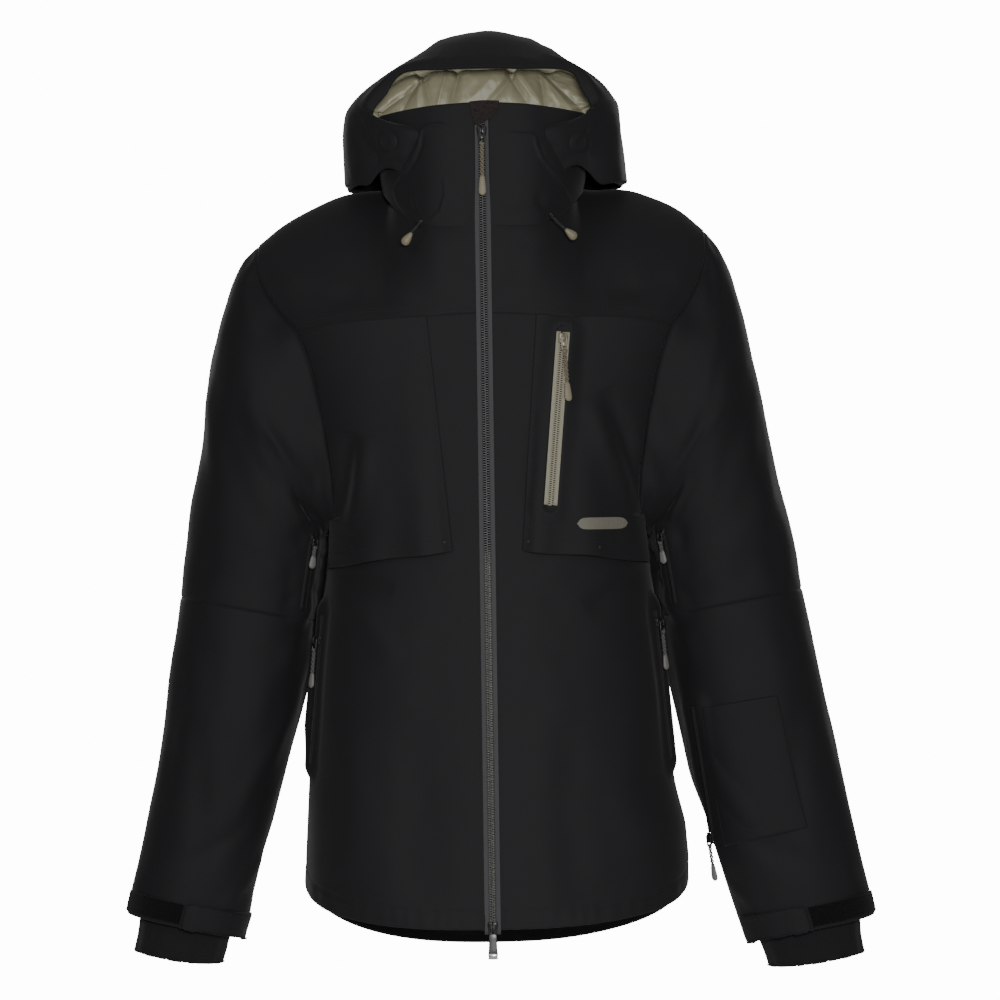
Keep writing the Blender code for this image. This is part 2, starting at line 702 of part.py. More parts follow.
def pocket_zips():
    (top_x, top_z), (low_x, low_z) = CHEST_ZIP
    top = torso(angle_at(top_x, top_z), top_z, inset=-7.5 * MM)
    low = torso(angle_at(low_x, low_z), low_z, inset=-7.5 * MM)
    top.x, low.x = top_x, low_x
    short_zip("chest", top, low, outward_at(22, -0.25), 7 * MM, cord_pull(66, 20), half=7.2 * MM, lean=0.15,
              tape_finish=KHAKI, slider_finish=KHAKI)
    angle, high, bottom = HAND_ZIP
    for side, name, slide in ((1, "left", HAND_SLIDES[0]), (-1, "right", HAND_SLIDES[1])):
        ends = body_zip_ends(angle, high, bottom, 5 * MM)
        ends = [Vector((side * p.x, p.y, p.z)) for p in ends]
        out = (side * HAND_OUTWARD[0], HAND_OUTWARD[1], HAND_OUTWARD[2])
        short_zip("hand_pocket_" + name, ends[0], ends[1], out, slide, cord_pull(51, 16))


def sleeve_zips():
    """Underarm vents on both arms, and the pass pocket on the wearer's left forearm."""
    for side, name in ((1, "left"), (-1, "right")):
        ends = [sleeve_point(k, 142, 4 * MM) for k in VENT_SPAN]
        ends = [Vector((side * p.x, p.y, p.z)) for p in ends]
        short_zip("vent_" + name, ends[0], ends[1], (-side * 0.62, -0.78, 0), 7 * MM, cord_pull(30, 14))
    top, low = sleeve_point(4.9, 139, 3.6 * MM), sleeve_point(6.25, 157, 4.6 * MM)
    short_zip("pass_pocket", top, low, (-0.74, -0.67, 0), (top - low).length - 9 * MM, cord_pull(48, 18))
    rows = []
    for k, inner_angle in ((6.15, 140), (5.55, 132), (4.95, 127)):
        rows.append([sleeve_point(k, mix(inner_angle, 72, i / 5), 2.8 * MM) for i in range(6)])
    sheet("pass_pocket_panel", rows, PLY, SLEEVE_CLOTH)


# ---- small parts -------------------------------------------------------------------------

def hanger_loop():
    """Flat loop of tape; the hook bears on the underside of its upper bar."""
    bm = bmesh.new()
    outer = [(-0.031, -0.020), (0.031, -0.020), (0.031, 0.006), (-0.031, 0.006)]
    inner = [(-0.025, -0.014), (0.025, -0.014), (0.025, 0.0), (-0.025, 0.0)]
    front, back = -1.6 * MM, 1.6 * MM
    sets = [[bm.verts.new((x, y, z)) for x, z in ring] for y in (front, back) for ring in (outer, inner)]
    front_out, front_in, back_out, back_in = sets
    for i in range(4):
        j = (i + 1) % 4
        bm.faces.new((front_out[i], front_out[j], front_in[j], front_in[i]))
        bm.faces.new((back_out[j], back_out[i], back_in[i], back_in[j]))
        bm.faces.new((front_out[j], front_out[i], back_out[i], back_out[j]))
        bm.faces.new((front_in[i], front_in[j], back_in[j], back_in[i]))
    bmesh.ops.recalc_face_normals(bm, faces=bm.faces)
    mesh = bpy.data.meshes.new("hanger_loop")
    bm.to_mesh(mesh)
    bm.free()
    add("hanger_loop", mesh, TAPE)


# Each drawcord's route from its eyelet down to the top of its toggle
DRAWCORDS = {
    "left": [(0.0735, -0.1790, -0.0330), (0.0765, -0.1830, -0.0370), (0.0815, -0.1835, -0.0420),
             (0.0868, -0.1815, -0.0465)],
    "right": [(-0.0670, -0.1835, -0.0385), (-0.0692, -0.1865, -0.0412), (-0.0722, -0.1866, -0.0445),
              (-0.0750, -0.1860, -0.0482)],
}
CORD_RADIUS = 1.2 * MM
TOGGLE = [(0.0, 1.5), (2.0, 2.6), (6.5, 4.2), (11.0, 5.0), (14.0, 3.8), (15.2, 1.6)]  # drop, radius in mm


def drawcords():
    for side, route in DRAWCORDS.items():
        curve = bpy.data.curves.new("drawcord_" + side, "CURVE")
        curve.dimensions = "3D"
        curve.bevel_depth = CORD_RADIUS
        curve.bevel_resolution = 2
        curve.use_fill_caps = True
        way = arc(route)
        count = 7
        spline = curve.splines.new("POLY")
        spline.points.add(count - 1)
        for i, point in enumerate(spline.points):
            point.co = (*way(i / (count - 1)), 1.0)
        add("drawcord_" + side, curve, SHELL)
        end = Vector(route[-1])
        heading = (end - Vector(route[-2])).normalized()
        toggle("toggle_" + side, end + heading * 0.4 * MM, heading)


def toggle(name, start, heading):
    """Drop-shaped cord end, turned about the cord's direction."""
    bm = bmesh.new()
    rings = []
    for drop, radius in TOGGLE:
        rings.append([bm.verts.new((radius * MM * math.cos(a), radius * MM * math.sin(a), drop * MM))
                      for a in (math.pi * k / 4 for k in range(8))])
    for a, b in zip(rings, rings[1:]):
        for i in range(8):
            bm.faces.new((a[i], a[(i + 1) % 8], b[(i + 1) % 8], b[i]))
    bm.faces.new(rings[0][::-1])
    bm.faces.new(rings[-1])
    bmesh.ops.recalc_face_normals(bm, faces=bm.faces)
    mesh = bpy.data.meshes.new(name)
    bm.to_mesh(mesh)
    bm.free()
    mesh.shade_smooth()
    turn = Vector((0, 0, 1)).rotation_difference(heading).to_matrix().to_4x4()
    add(name, mesh, KHAKI, Matrix.Translation(start) @ turn)


def main():
    clear_scene()
    front_panels()
    back_panel()
    front_yokes()
    back_yoke()
    body_lining()
    collars()
    chest_panels()
    sleeves()
    gaiters()
    cuff_closures()
    hood()
    hood_brim()
    front_zip()
    front_sliders()
    zip_garage()
    pocket_zips()
    sleeve_zips()
    hanger_loop()
    drawcords()


main()
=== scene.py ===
"""Looks of a hooded ski jacket: cloth, seams, zips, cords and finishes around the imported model."""
import math

import bmesh
import bpy
import numpy as np
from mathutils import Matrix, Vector, noise


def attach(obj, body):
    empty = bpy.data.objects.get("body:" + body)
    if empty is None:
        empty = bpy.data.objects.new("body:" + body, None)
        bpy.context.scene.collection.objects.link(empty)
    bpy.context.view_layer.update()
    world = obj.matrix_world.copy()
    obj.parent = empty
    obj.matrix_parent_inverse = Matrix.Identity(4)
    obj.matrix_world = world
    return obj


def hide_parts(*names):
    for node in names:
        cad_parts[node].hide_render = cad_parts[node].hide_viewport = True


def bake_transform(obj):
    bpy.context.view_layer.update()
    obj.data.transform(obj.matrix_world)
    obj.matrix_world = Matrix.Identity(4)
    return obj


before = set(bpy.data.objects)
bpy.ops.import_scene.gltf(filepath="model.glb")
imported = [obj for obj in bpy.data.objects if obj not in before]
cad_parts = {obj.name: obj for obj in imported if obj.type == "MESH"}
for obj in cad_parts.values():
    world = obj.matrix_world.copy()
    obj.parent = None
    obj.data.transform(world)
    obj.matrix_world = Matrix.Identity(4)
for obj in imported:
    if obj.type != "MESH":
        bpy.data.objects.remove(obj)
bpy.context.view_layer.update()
MM = 0.001

# ---- driving dimensions: the sections of the CAD body and sleeves ---------------------------
MIDDLE_Y = -0.075
ZIP_TOP = np.array([0.0, -0.175, 0.083])
ZIP_BOTTOM = np.array([0.0, -0.235, -0.784])
ZIP_EDGE = 7.4 * MM             # half width of the tape that shows between the front edges
BODY_POWER = 2.5
SLEEVE_POWER = 2.2
YOKE_FRONT, YOKE_DROP, YOKE_BACK = -0.134, 0.017, -0.155
ARMPIT = -0.365
TIP = np.array([0.232, MIDDLE_Y, -0.062])
HEM_FRONT, HEM_SIDE, HEM_BACK = -0.779, -0.735, -0.812
# Height, half width and back depth of the body's sections
BODY = np.array([
    (-0.830, 0.2045, 0.074), (-0.735, 0.2015, 0.068), (-0.540, 0.1895, 0.053), (-0.450, 0.1790, 0.050),
    (-0.365, 0.1720, 0.053), (-0.300, 0.1840, 0.056), (-0.200, 0.2150, 0.054), (-0.150, 0.2350, 0.050),
    (-0.060, 0.2460, 0.030)])
# Height of the armhole and its distance from the middle, front and back
ARMHOLE = np.array([
    (-0.365, 0.1720, 0.1720), (-0.350, 0.1630, 0.1660), (-0.279, 0.1660, 0.1800), (-0.198, 0.1810, 0.2010),
    (-0.152, 0.1980, 0.2130), (-0.134, 0.2140, 0.2190), (-0.100, 0.2300, 0.2290), (-0.062, 0.2320, 0.2320)])
# Sleeve sections: outer x and z, inner x and z, half depth
SLEEVE = np.array([
    (0.2610, -0.104, 0.1752, -0.374, 0.083), (0.2795, -0.163, 0.1762, -0.384, 0.082),
    (0.2930, -0.240, 0.1795, -0.398, 0.079), (0.3100, -0.330, 0.1840, -0.420, 0.075),
    (0.3255, -0.430, 0.1890, -0.458, 0.070), (0.3455, -0.541, 0.2020, -0.568, 0.066),
    (0.3655, -0.646, 0.2260, -0.675, 0.061), (0.3920, -0.760, 0.2650, -0.788, 0.053)])
ELBOW = 5                       # ring of the sleeve at the elbow seam, counted from the armhole
CUFF = 8                        # ring of the sleeve at its hem


# ---- numbers and curves --------------------------------------------------------------------
def step(low, high, x):
    t = np.clip((np.asarray(x, float) - low) / (high - low), 0.0, 1.0)
    return t * t * (3 - 2 * t)


def mix(a, b, t):
    return a + (b - a) * t


def bell(x):
    return np.exp(-np.asarray(x, float) ** 2)


def power(value, n):
    return np.copysign(np.abs(value) ** (2.0 / n), value)


def reading(table, height, column):
    """Smooth reading of a column of a table whose first column rises."""
    x, y = table[:, 0], table[:, column]
    height = np.clip(height, x[0], x[-1])
    k = np.clip(np.searchsorted(x, height, side="right") - 1, 0, len(x) - 2)
    span = x[k + 1] - x[k]
    t = (height - x[k]) / span
    before, after = np.maximum(k - 1, 0), np.minimum(k + 2, len(x) - 1)
    low = (y[k + 1] - y[before]) / np.maximum(x[k + 1] - x[before], span)
    high = (y[after] - y[k]) / np.maximum(x[after] - x[k], span)
    return ((2 * t**3 - 3 * t**2 + 1) * y[k] + (t**3 - 2 * t**2 + t) * span * low
            + (3 * t**2 - 2 * t**3) * y[k + 1] + (t**3 - t**2) * span * high)


def spline(points, t):
    """Smooth curve through the rows of points, for t from 0 to 1; works on any trailing shape."""
    points = np.asarray(points, float)
    place = np.clip(t, 0.0, 1.0) * (len(points) - 1)
    k = np.minimum(place.astype(int) if isinstance(place, np.ndarray) else int(place), len(points) - 2)
    f = place - k
    if isinstance(f, np.ndarray):
        f = f.reshape(f.shape + (1,) * (points.ndim - 1))
    a, b = points[np.maximum(k - 1, 0)], points[k]
    c, d = points[k + 1], points[np.minimum(k + 2, len(points) - 1)]
    a = np.where(np.equal(k, 0).reshape(np.shape(k) + (1,) * (points.ndim - 1)), 2 * b - c, a)
    d = np.where(np.equal(k, len(points) - 2).reshape(np.shape(k) + (1,) * (points.ndim - 1)), 2 * c - b, d)
    return 0.5 * (2 * b + (c - a) * f + (2 * a - 5 * b + 4 * c - d) * f**2 + (3 * b - a - 3 * c + d) * f**3)


def net(cage, rows, columns):
    """Grid of points on the smooth surface through a cage of control points."""
    across = spline(np.asarray(cage, float), np.asarray(rows, float))
    return np.swapaxes(spline(np.swapaxes(across, 0, 1), np.asarray(columns, float)), 0, 1)


def ticks(count, length, low=True, high=True):
    """Values of 0 to 1, even but with extra ones close to the ends, where cloth rolls over."""
    near = np.array([0.8, 1.8, 3.0, 4.6]) * MM / length
    values = [np.linspace(0, 1, count + 1)]
    if low:
        values.append(near)
    if high:
        values.append(1 - near)
    values = np.unique(np.round(np.concatenate(values), 7))
    keep = [values[0]]
    for v in values[1:-1]:
        if (v - keep[-1]) * length > 0.45 * MM:
            keep.append(v)
    return np.array(keep + [1.0])


def normals(P, closed=False):
    """Outward normals of a grid whose columns run left to right and whose rows run up."""
    if closed:
        across = np.roll(P, -1, axis=1) - np.roll(P, 1, axis=1)
    else:
        across = np.gradient(P, axis=1)
    up = np.gradient(P, axis=0)
    n = np.cross(across, up)
    return n / np.maximum(np.linalg.norm(n, axis=2, keepdims=True), 1e-12)


def hashed(x, z, scale, seed):
    """Smooth noise of about -1 to 1 over two arrays of coordinates in metres."""
    flat = [noise.noise(Vector((a / scale, b / scale, seed))) for a, b in zip(np.ravel(x), np.ravel(z))]
    return np.array(flat).reshape(np.shape(x))


def crease(x, z, path, height, width, taper=True):
    """A rounded ridge (or groove, if negative) along a path of (x, z) points."""
    best = np.full(np.shape(x), 1e9)
    along = np.zeros(np.shape(x))
    path = np.asarray(path, float)
    count = len(path) - 1
    for k in range(count):
        a, b = path[k], path[k + 1]
        d = b - a
        t = np.clip(((x - a[0]) * d[0] + (z - a[1]) * d[1]) / (d @ d), 0, 1)
        r = np.hypot(x - a[0] - t * d[0], z - a[1] - t * d[1])
        along = np.where(r < best, (k + t) / count, along)
        best = np.minimum(best, r)
    fade = np.sin(np.pi * np.clip(along, 0, 1)) ** 0.6 if taper else 1.0
    return height * bell(best / width) * fade


def hung(points):
    """How the cloth hangs: wider and higher shoulders, arms held out, longer cuffs, a hood that slumps.

    Only cloth, its seam lines and the raised print are moved. Zips, pulls and cords stay in place.
    """
    P = np.array(points, float)
    x, y, z = P[..., 0].copy(), P[..., 1], P[..., 2].copy()
    a, left = np.abs(x), x > 0
    low, high = np.interp(z, HANG[:, 0], HANG[:, 1]), np.interp(z, HANG[:, 0], HANG[:, 2])
    out = np.where(left, np.interp(z, HANG[:, 0], HANG[:, 4]), np.interp(z, HANG[:, 0], HANG[:, 3])) * MM
    wide = out * step(0, 1, (a - low) / (high - low))
    hem = 9.5 * MM * left * step(-0.62, -0.69, z) * step(0.10, 0.19, a)
    hem = hem * (1 - step(low - 0.040, low - 0.030, a))
    P[..., 0] = x + np.sign(x) * (wide + hem)
    # the arm on the wearer's right stands away from the body below the elbow
    inner = low - (high - low) / 3
    gap = np.interp(z, [-0.80, -0.765, -0.74, -0.70, -0.646, -0.60, -0.53, -0.50],
                    [0, 3, 9, 13, 11, 8, 4, 0]) * MM
    on_arm = step(-0.012, -0.003, a - inner)
    P[..., 0] -= ~left * gap * (1 - step(0, 0.75, (a - inner) / (high - inner))) * on_arm
    # the lower right corner of the hood, as seen from the front
    P[..., 0] += 8.0 * MM * bell((z - 0.008) / 0.028) * step(0.10, 0.14, x)
    rise = np.where(left, 13.0, 6.5) * step(0.09, 0.165, a) * step(-0.20, -0.075, z)
    ridge = np.where(left, 5.0, 8.8 * (1 - 0.75 * step(0.14, 0.21, a))) * step(0.085, 0.125, a)
    tilt = mix(12.0, -7.0, (a - 0.285) / 0.10) * step(-0.80, -0.84, z) * step(0.24, 0.27, a)
    corner = np.where(left, 14.5, 10.5) * bell((z - 0.014) / 0.016) * step(0.10, 0.125, a)
    crown = 2.5 * step(0.13, 0.16, z) - corner
    P[..., 2] = z + MM * (rise + ridge * step(-0.14, -0.06, z) * (1 - step(-0.005, 0.02, z)) + tilt + crown)
    # the cuffs reach further down, along the axes that their tabs turn about
    reach = np.where(left, 21.0, 8.5) * MM * step(-0.60, -0.75, z) * on_arm
    P[..., 0] += np.sign(x) * 0.2153 * reach
    P[..., 2] -= 0.9765 * reach
    slump = 1 - 0.34 * step(0.078, 0.158, z) * step(-0.134, -0.112, y)
    P[..., 0] = P[..., 0] * np.where(z > 0.07, slump, 1.0) + 3.5 * MM * step(0.13, 0.16, z)
    return P


# Height; where the arm starts to spread and its outer side; spread in mm on the wearer's right and left
HANG = np.array([
    (-0.900, 0.300, 0.402, 0.0, 3.0), (-0.788, 0.298, 0.398, 0.0, 14.0), (-0.675, 0.2625, 0.372, 0.0, 17.0),
    (-0.568, 0.239, 0.351, 0.0, 16.0), (-0.436, 0.222, 0.327, 5.4, 12.0), (-0.310, 0.206, 0.306, 8.6, 7.5),
    (-0.226, 0.203, 0.291, 11.8, 6.5), (-0.152, 0.218, 0.277, 9.5, 3.0), (-0.120, 0.185, 0.268, 9.1, 2.5),
    (-0.079, 0.130, 0.246, 10.8, 5.4), (-0.030, 0.110, 0.215, 8.0, 6.0), (0.020, 0.110, 0.200, 0.0, 0.0),
    (0.300, 0.300, 0.400, 0.0, 0.0)])


# ---- meshes ---------------------------------------------------------------------------------
def linked(name, mesh):
    thing = bpy.data.objects.new(name, mesh)
    bpy.context.scene.collection.objects.link(thing)
    return thing


def mesh_of(name, points, faces, uvs=None, smooth=True, hangs=True):
    mesh = bpy.data.meshes.new(name)
    mesh.from_pydata([tuple(p) for p in (hung(points) if hangs else np.asarray(points, float))], [],
                     [tuple(int(i) for i in f) for f in faces])
    if uvs is not None:
        layer = mesh.uv_layers.new(name="cloth")
        index = np.zeros(len(mesh.loops), np.int32)
        mesh.loops.foreach_get("vertex_index", index)
        layer.data.foreach_set("uv", np.asarray(uvs, np.float32)[index].ravel())
    if smooth:
        mesh.shade_smooth()
    return mesh


def grid_faces(rows, columns, closed, start=0, flip=False):
    faces = []
    for r in range(rows - 1):
        for c in range(columns if closed else columns - 1):
            n = (c + 1) % columns
            quad = (start + r * columns + c, start + r * columns + n,
                    start + (r + 1) * columns + n, start + (r + 1) * columns + c)
            faces.append(quad[::-1] if flip else quad)
    return faces


def cloth_uv(P):
    """Lengths in metres along the rows and the columns of a grid."""
    across = np.linalg.norm(np.diff(P, axis=1), axis=2).mean(axis=0)
    up = np.linalg.norm(np.diff(P, axis=0), axis=2).mean(axis=1)
    u = np.concatenate([[0], np.cumsum(across)])
    v = np.concatenate([[0], np.cumsum(up)])
    return np.stack(np.meshgrid(u, v), axis=2)


def shell(name, P, thickness, closed=False):
    """A piece of cloth with a rounded rim: P is its outer face, and the thickness goes inwards."""
    rows, columns = P.shape[:2]
    N = normals(P, closed)
    middle = P - N * thickness * 0.5
    inner = P - N * thickness
    points = [P.reshape(-1, 3), inner.reshape(-1, 3)]
    uv = cloth_uv(P)
    uvs = [uv.reshape(-1, 2), uv.reshape(-1, 2)]
    size = rows * columns
    faces = grid_faces(rows, columns, closed) + grid_faces(rows, columns, closed, size, True)
    loops = [[c for c in range(columns)], [(rows - 1) * columns + c for c in range(columns)][::-1]]
    if not closed:
        loops = [loops[0] + [r * columns + columns - 1 for r in range(1, rows)] + loops[1][1:]
                 + [r * columns for r in range(rows - 2, 0, -1)]]
    start = 2 * size
    flat_p, flat_m = P.reshape(-1, 3), middle.reshape(-1, 3)
    for loop in loops:
        bump = []
        for i in loop:
            r, c = divmod(i, columns)
            inside = (min(max(r, 1), rows - 2) * columns + (c if closed else min(max(c, 1), columns - 2)))
            out = flat_p[i] - flat_p[inside]
            out = out / max(np.linalg.norm(out), 1e-9)
            bump.append(flat_m[i] + out * thickness * 0.35)
        points.append(np.array(bump))
        uvs.append(uv.reshape(-1, 2)[loop])
        count = len(loop)
        for k in range(count):
            n = (k + 1) % count
            a, b = loop[k], loop[n]
            faces.append((b, a, start + k, start + n))
            faces.append((start + n, start + k, size + a, size + b))
        start += count
    return linked(name, mesh_of(name, np.concatenate(points), faces, np.concatenate(uvs)))


def mirror(P):
    """The grid on the wearer's right, still facing out."""
    Q = P[:, ::-1].copy()
    Q[..., 0] *= -1
    return Q


def rolled(P, depth, left=False, right=False, low=False, high=False, reach=4.0 * MM):
    """The grid with some of its edges rolled inwards, as at a seam."""
    across = np.concatenate([np.zeros((len(P), 1)),
                             np.cumsum(np.linalg.norm(np.diff(P, axis=1), axis=2), axis=1)], axis=1)
    up = np.concatenate([np.zeros((1, P.shape[1])),
                         np.cumsum(np.linalg.norm(np.diff(P, axis=0), axis=2), axis=0)], axis=0)
    away = np.full(P.shape[:2], 1.0)
    if left:
        away = np.minimum(away, across)
    if right:
        away = np.minimum(away, across[:, -1:] - across)
    if low:
        away = np.minimum(away, up)
    if high:
        away = np.minimum(away, up[-1:] - up)
    drop = depth * (1 - np.sqrt(np.clip(1 - (1 - np.clip(away / reach, 0, 1)) ** 2, 0, 1)))
    return P - normals(P) * 0.6 * drop[..., None]


def tube(name, path, radius, sides=8, closed=False, squash=1.0, up=(0, 0, 1)):
    """A round (or flattened) bar along a path of points, with rounded ends."""
    path = np.asarray(path, float)
    radius = np.broadcast_to(np.asarray(radius, float), (len(path),))
    ahead = np.gradient(path, axis=0) if not closed else np.roll(path, -1, 0) - np.roll(path, 1, 0)
    ahead /= np.linalg.norm(ahead, axis=1, keepdims=True)
    side = np.cross(ahead, up)
    side /= np.maximum(np.linalg.norm(side, axis=1, keepdims=True), 1e-9)
    high = np.cross(side, ahead)
    turn = np.linspace(0, 2 * np.pi, sides, endpoint=False)
    rings = (path[:, None] + radius[:, None, None] * (side[:, None] * np.cos(turn)[None, :, None]
             + squash * high[:, None] * np.sin(turn)[None, :, None]))
    count = len(path)
    faces = []
    for r in range(count if closed else count - 1):
        n = (r + 1) % count
        for c in range(sides):
            d = (c + 1) % sides
            faces.append((r * sides + c, n * sides + c, n * sides + d, r * sides + d))
    points = rings.reshape(-1, 3)
    if not closed:
        faces.append(tuple(range(sides)))
        faces.append(tuple((count - 1) * sides + c for c in range(sides))[::-1])
    return name, points, faces


def merged(name, parts, smooth=True, hangs=False):
    """One mesh object from (name, points, faces) parts."""
    points, faces, start = [], [], 0
    for _, p, f in parts:
        points.append(np.asarray(p, float))
        faces.extend([tuple(i + start for i in face) for face in f])
        start += len(p)
    return linked(name, mesh_of(name, np.concatenate(points), faces, None, smooth, hangs))


def soften(thing, width, segments=2, levels=0):
    """Round the edges, and subdivide where asked."""
    if width:
        bevel = thing.modifiers.new("round", "BEVEL")
        bevel.width = width
        bevel.segments = segments
        bevel.limit_method = "ANGLE"
        bevel.angle_limit = math.radians(32)
    if levels:
        sub = thing.modifiers.new("smooth", "SUBSURF")
        sub.levels = sub.render_levels = levels
    return thing


def stitches(path, out, pitch=3.4 * MM, long=2.5 * MM, radius=0.28 * MM):
    """A row of thread stitches along a path, standing a little proud of the cloth."""
    path, out = np.asarray(path, float), np.asarray(out, float)
    gone = np.concatenate([[0], np.cumsum(np.linalg.norm(np.diff(path, axis=0), axis=1))])
    count = int(gone[-1] / pitch)
    parts = []
    for k in range(count):
        at = (k + 0.5) * pitch + np.array([-0.5, -0.3, 0.3, 0.5]) * long
        line = np.stack([np.interp(at, gone, path[:, i]) for i in range(3)], axis=1)
        normal = np.stack([np.interp(at, gone, out[:, i]) for i in range(3)], axis=1)
        normal /= np.maximum(np.linalg.norm(normal, axis=1, keepdims=True), 1e-9)
        line += normal * (np.array([-0.25, 0.16, 0.16, -0.25])[:, None] * MM)
        parts.append(tube("", line, np.array([0.6, 1, 1, 0.6]) * radius, 5, up=tuple(normal[1])))
    return parts


# ---- camera, light and floor ------------------------------------------------------------------
EYE = (0.0139, -5.2, -0.331)
FRAME_PLANE = -0.2              # depth at which the picture is FRAME_WIDTH wide
FRAME_WIDTH = 1.05
ROLL = 0.0143


def place_camera():
    lens = bpy.data.cameras.new("camera")
    lens.sensor_width = 36.0
    lens.lens = 36.0 * (FRAME_PLANE - EYE[1]) / FRAME_WIDTH
    lens.clip_start, lens.clip_end = 0.1, 60.0
    camera = linked("camera", lens)
    camera.location = EYE
    camera.rotation_euler = (math.pi / 2, ROLL, 0)
    bpy.context.scene.camera = camera


def lamp(name, place, target, size, watts, tint=(1.0, 1.0, 1.0)):
    data = bpy.data.lights.new(name, "AREA")
    data.shape = "RECTANGLE"
    data.size, data.size_y = size
    data.energy = watts
    data.color = tint
    light = linked(name, data)
    light.location = place
    light.rotation_euler = (Vector(target) - Vector(place)).to_track_quat("-Z", "Y").to_euler()


def studio():
    world = bpy.data.worlds.new("studio")
    bpy.context.scene.world = world
    world.use_nodes = True
    tree = world.node_tree
    back = tree.nodes["Background"]
    back.inputs["Color"].default_value = (1.0, 1.0, 1.0, 1.0)
    seen = tree.nodes.new("ShaderNodeLightPath")
    amount = tree.nodes.new("ShaderNodeMapRange")
    amount.inputs["To Min"].default_value = WORLD_LIGHT
    amount.inputs["To Max"].default_value = WORLD_SEEN
    tree.links.new(seen.outputs["Is Camera Ray"], amount.inputs["Value"])
    tree.links.new(amount.outputs["Result"], back.inputs["Strength"])
    lamp("key", (-1.5, -2.6, 1.5), (0, -0.1, -0.35), (1.6, 1.2), KEY)
    lamp("fill", (2.2, -2.8, 0.3), (0, -0.1, -0.4), (1.4, 2.0), FILL)
    lamp("top", (0.1, 0.4, 1.9), (0, -0.1, -0.1), (1.8, 1.0), TOP)
    lamp("front", (0.25, -4.6, 0.11), (0, 0, -0.2), (0.7, 0.6), FRONT)
    # behind and beside the jacket, for the back and the sides
    lamp("rear", (-0.3, 4.6, 0.4), (0, 0, -0.3), (1.0, 0.9), REAR)
    lamp("rear_left", (2.4, 4.2, 0.5), (0, 0, -0.3), (0.8, 0.9), REAR * 0.13)
    lamp("rear_right", (-2.4, 4.2, 0.5), (0, 0, -0.3), (0.8, 0.9), REAR * 0.13)
    floor = bmesh.new()
    bmesh.ops.create_grid(floor, x_segments=1, y_segments=1, size=1.3)
    mesh = bpy.data.meshes.new("floor")
    floor.to_mesh(mesh)
    floor.free()
    ground = linked("floor", mesh)
    ground.location = (0, 0, -1.25)
    paint = Look("floor_paint", (0.86, 0.86, 0.86), 0.85)
    ground.data.materials.append(paint.material)


WORLD_LIGHT, WORLD_SEEN = 0.16, 14.0
KEY, FILL, TOP, FRONT, REAR = 10.0, 4.0, 4.5, 127.0, 160.0


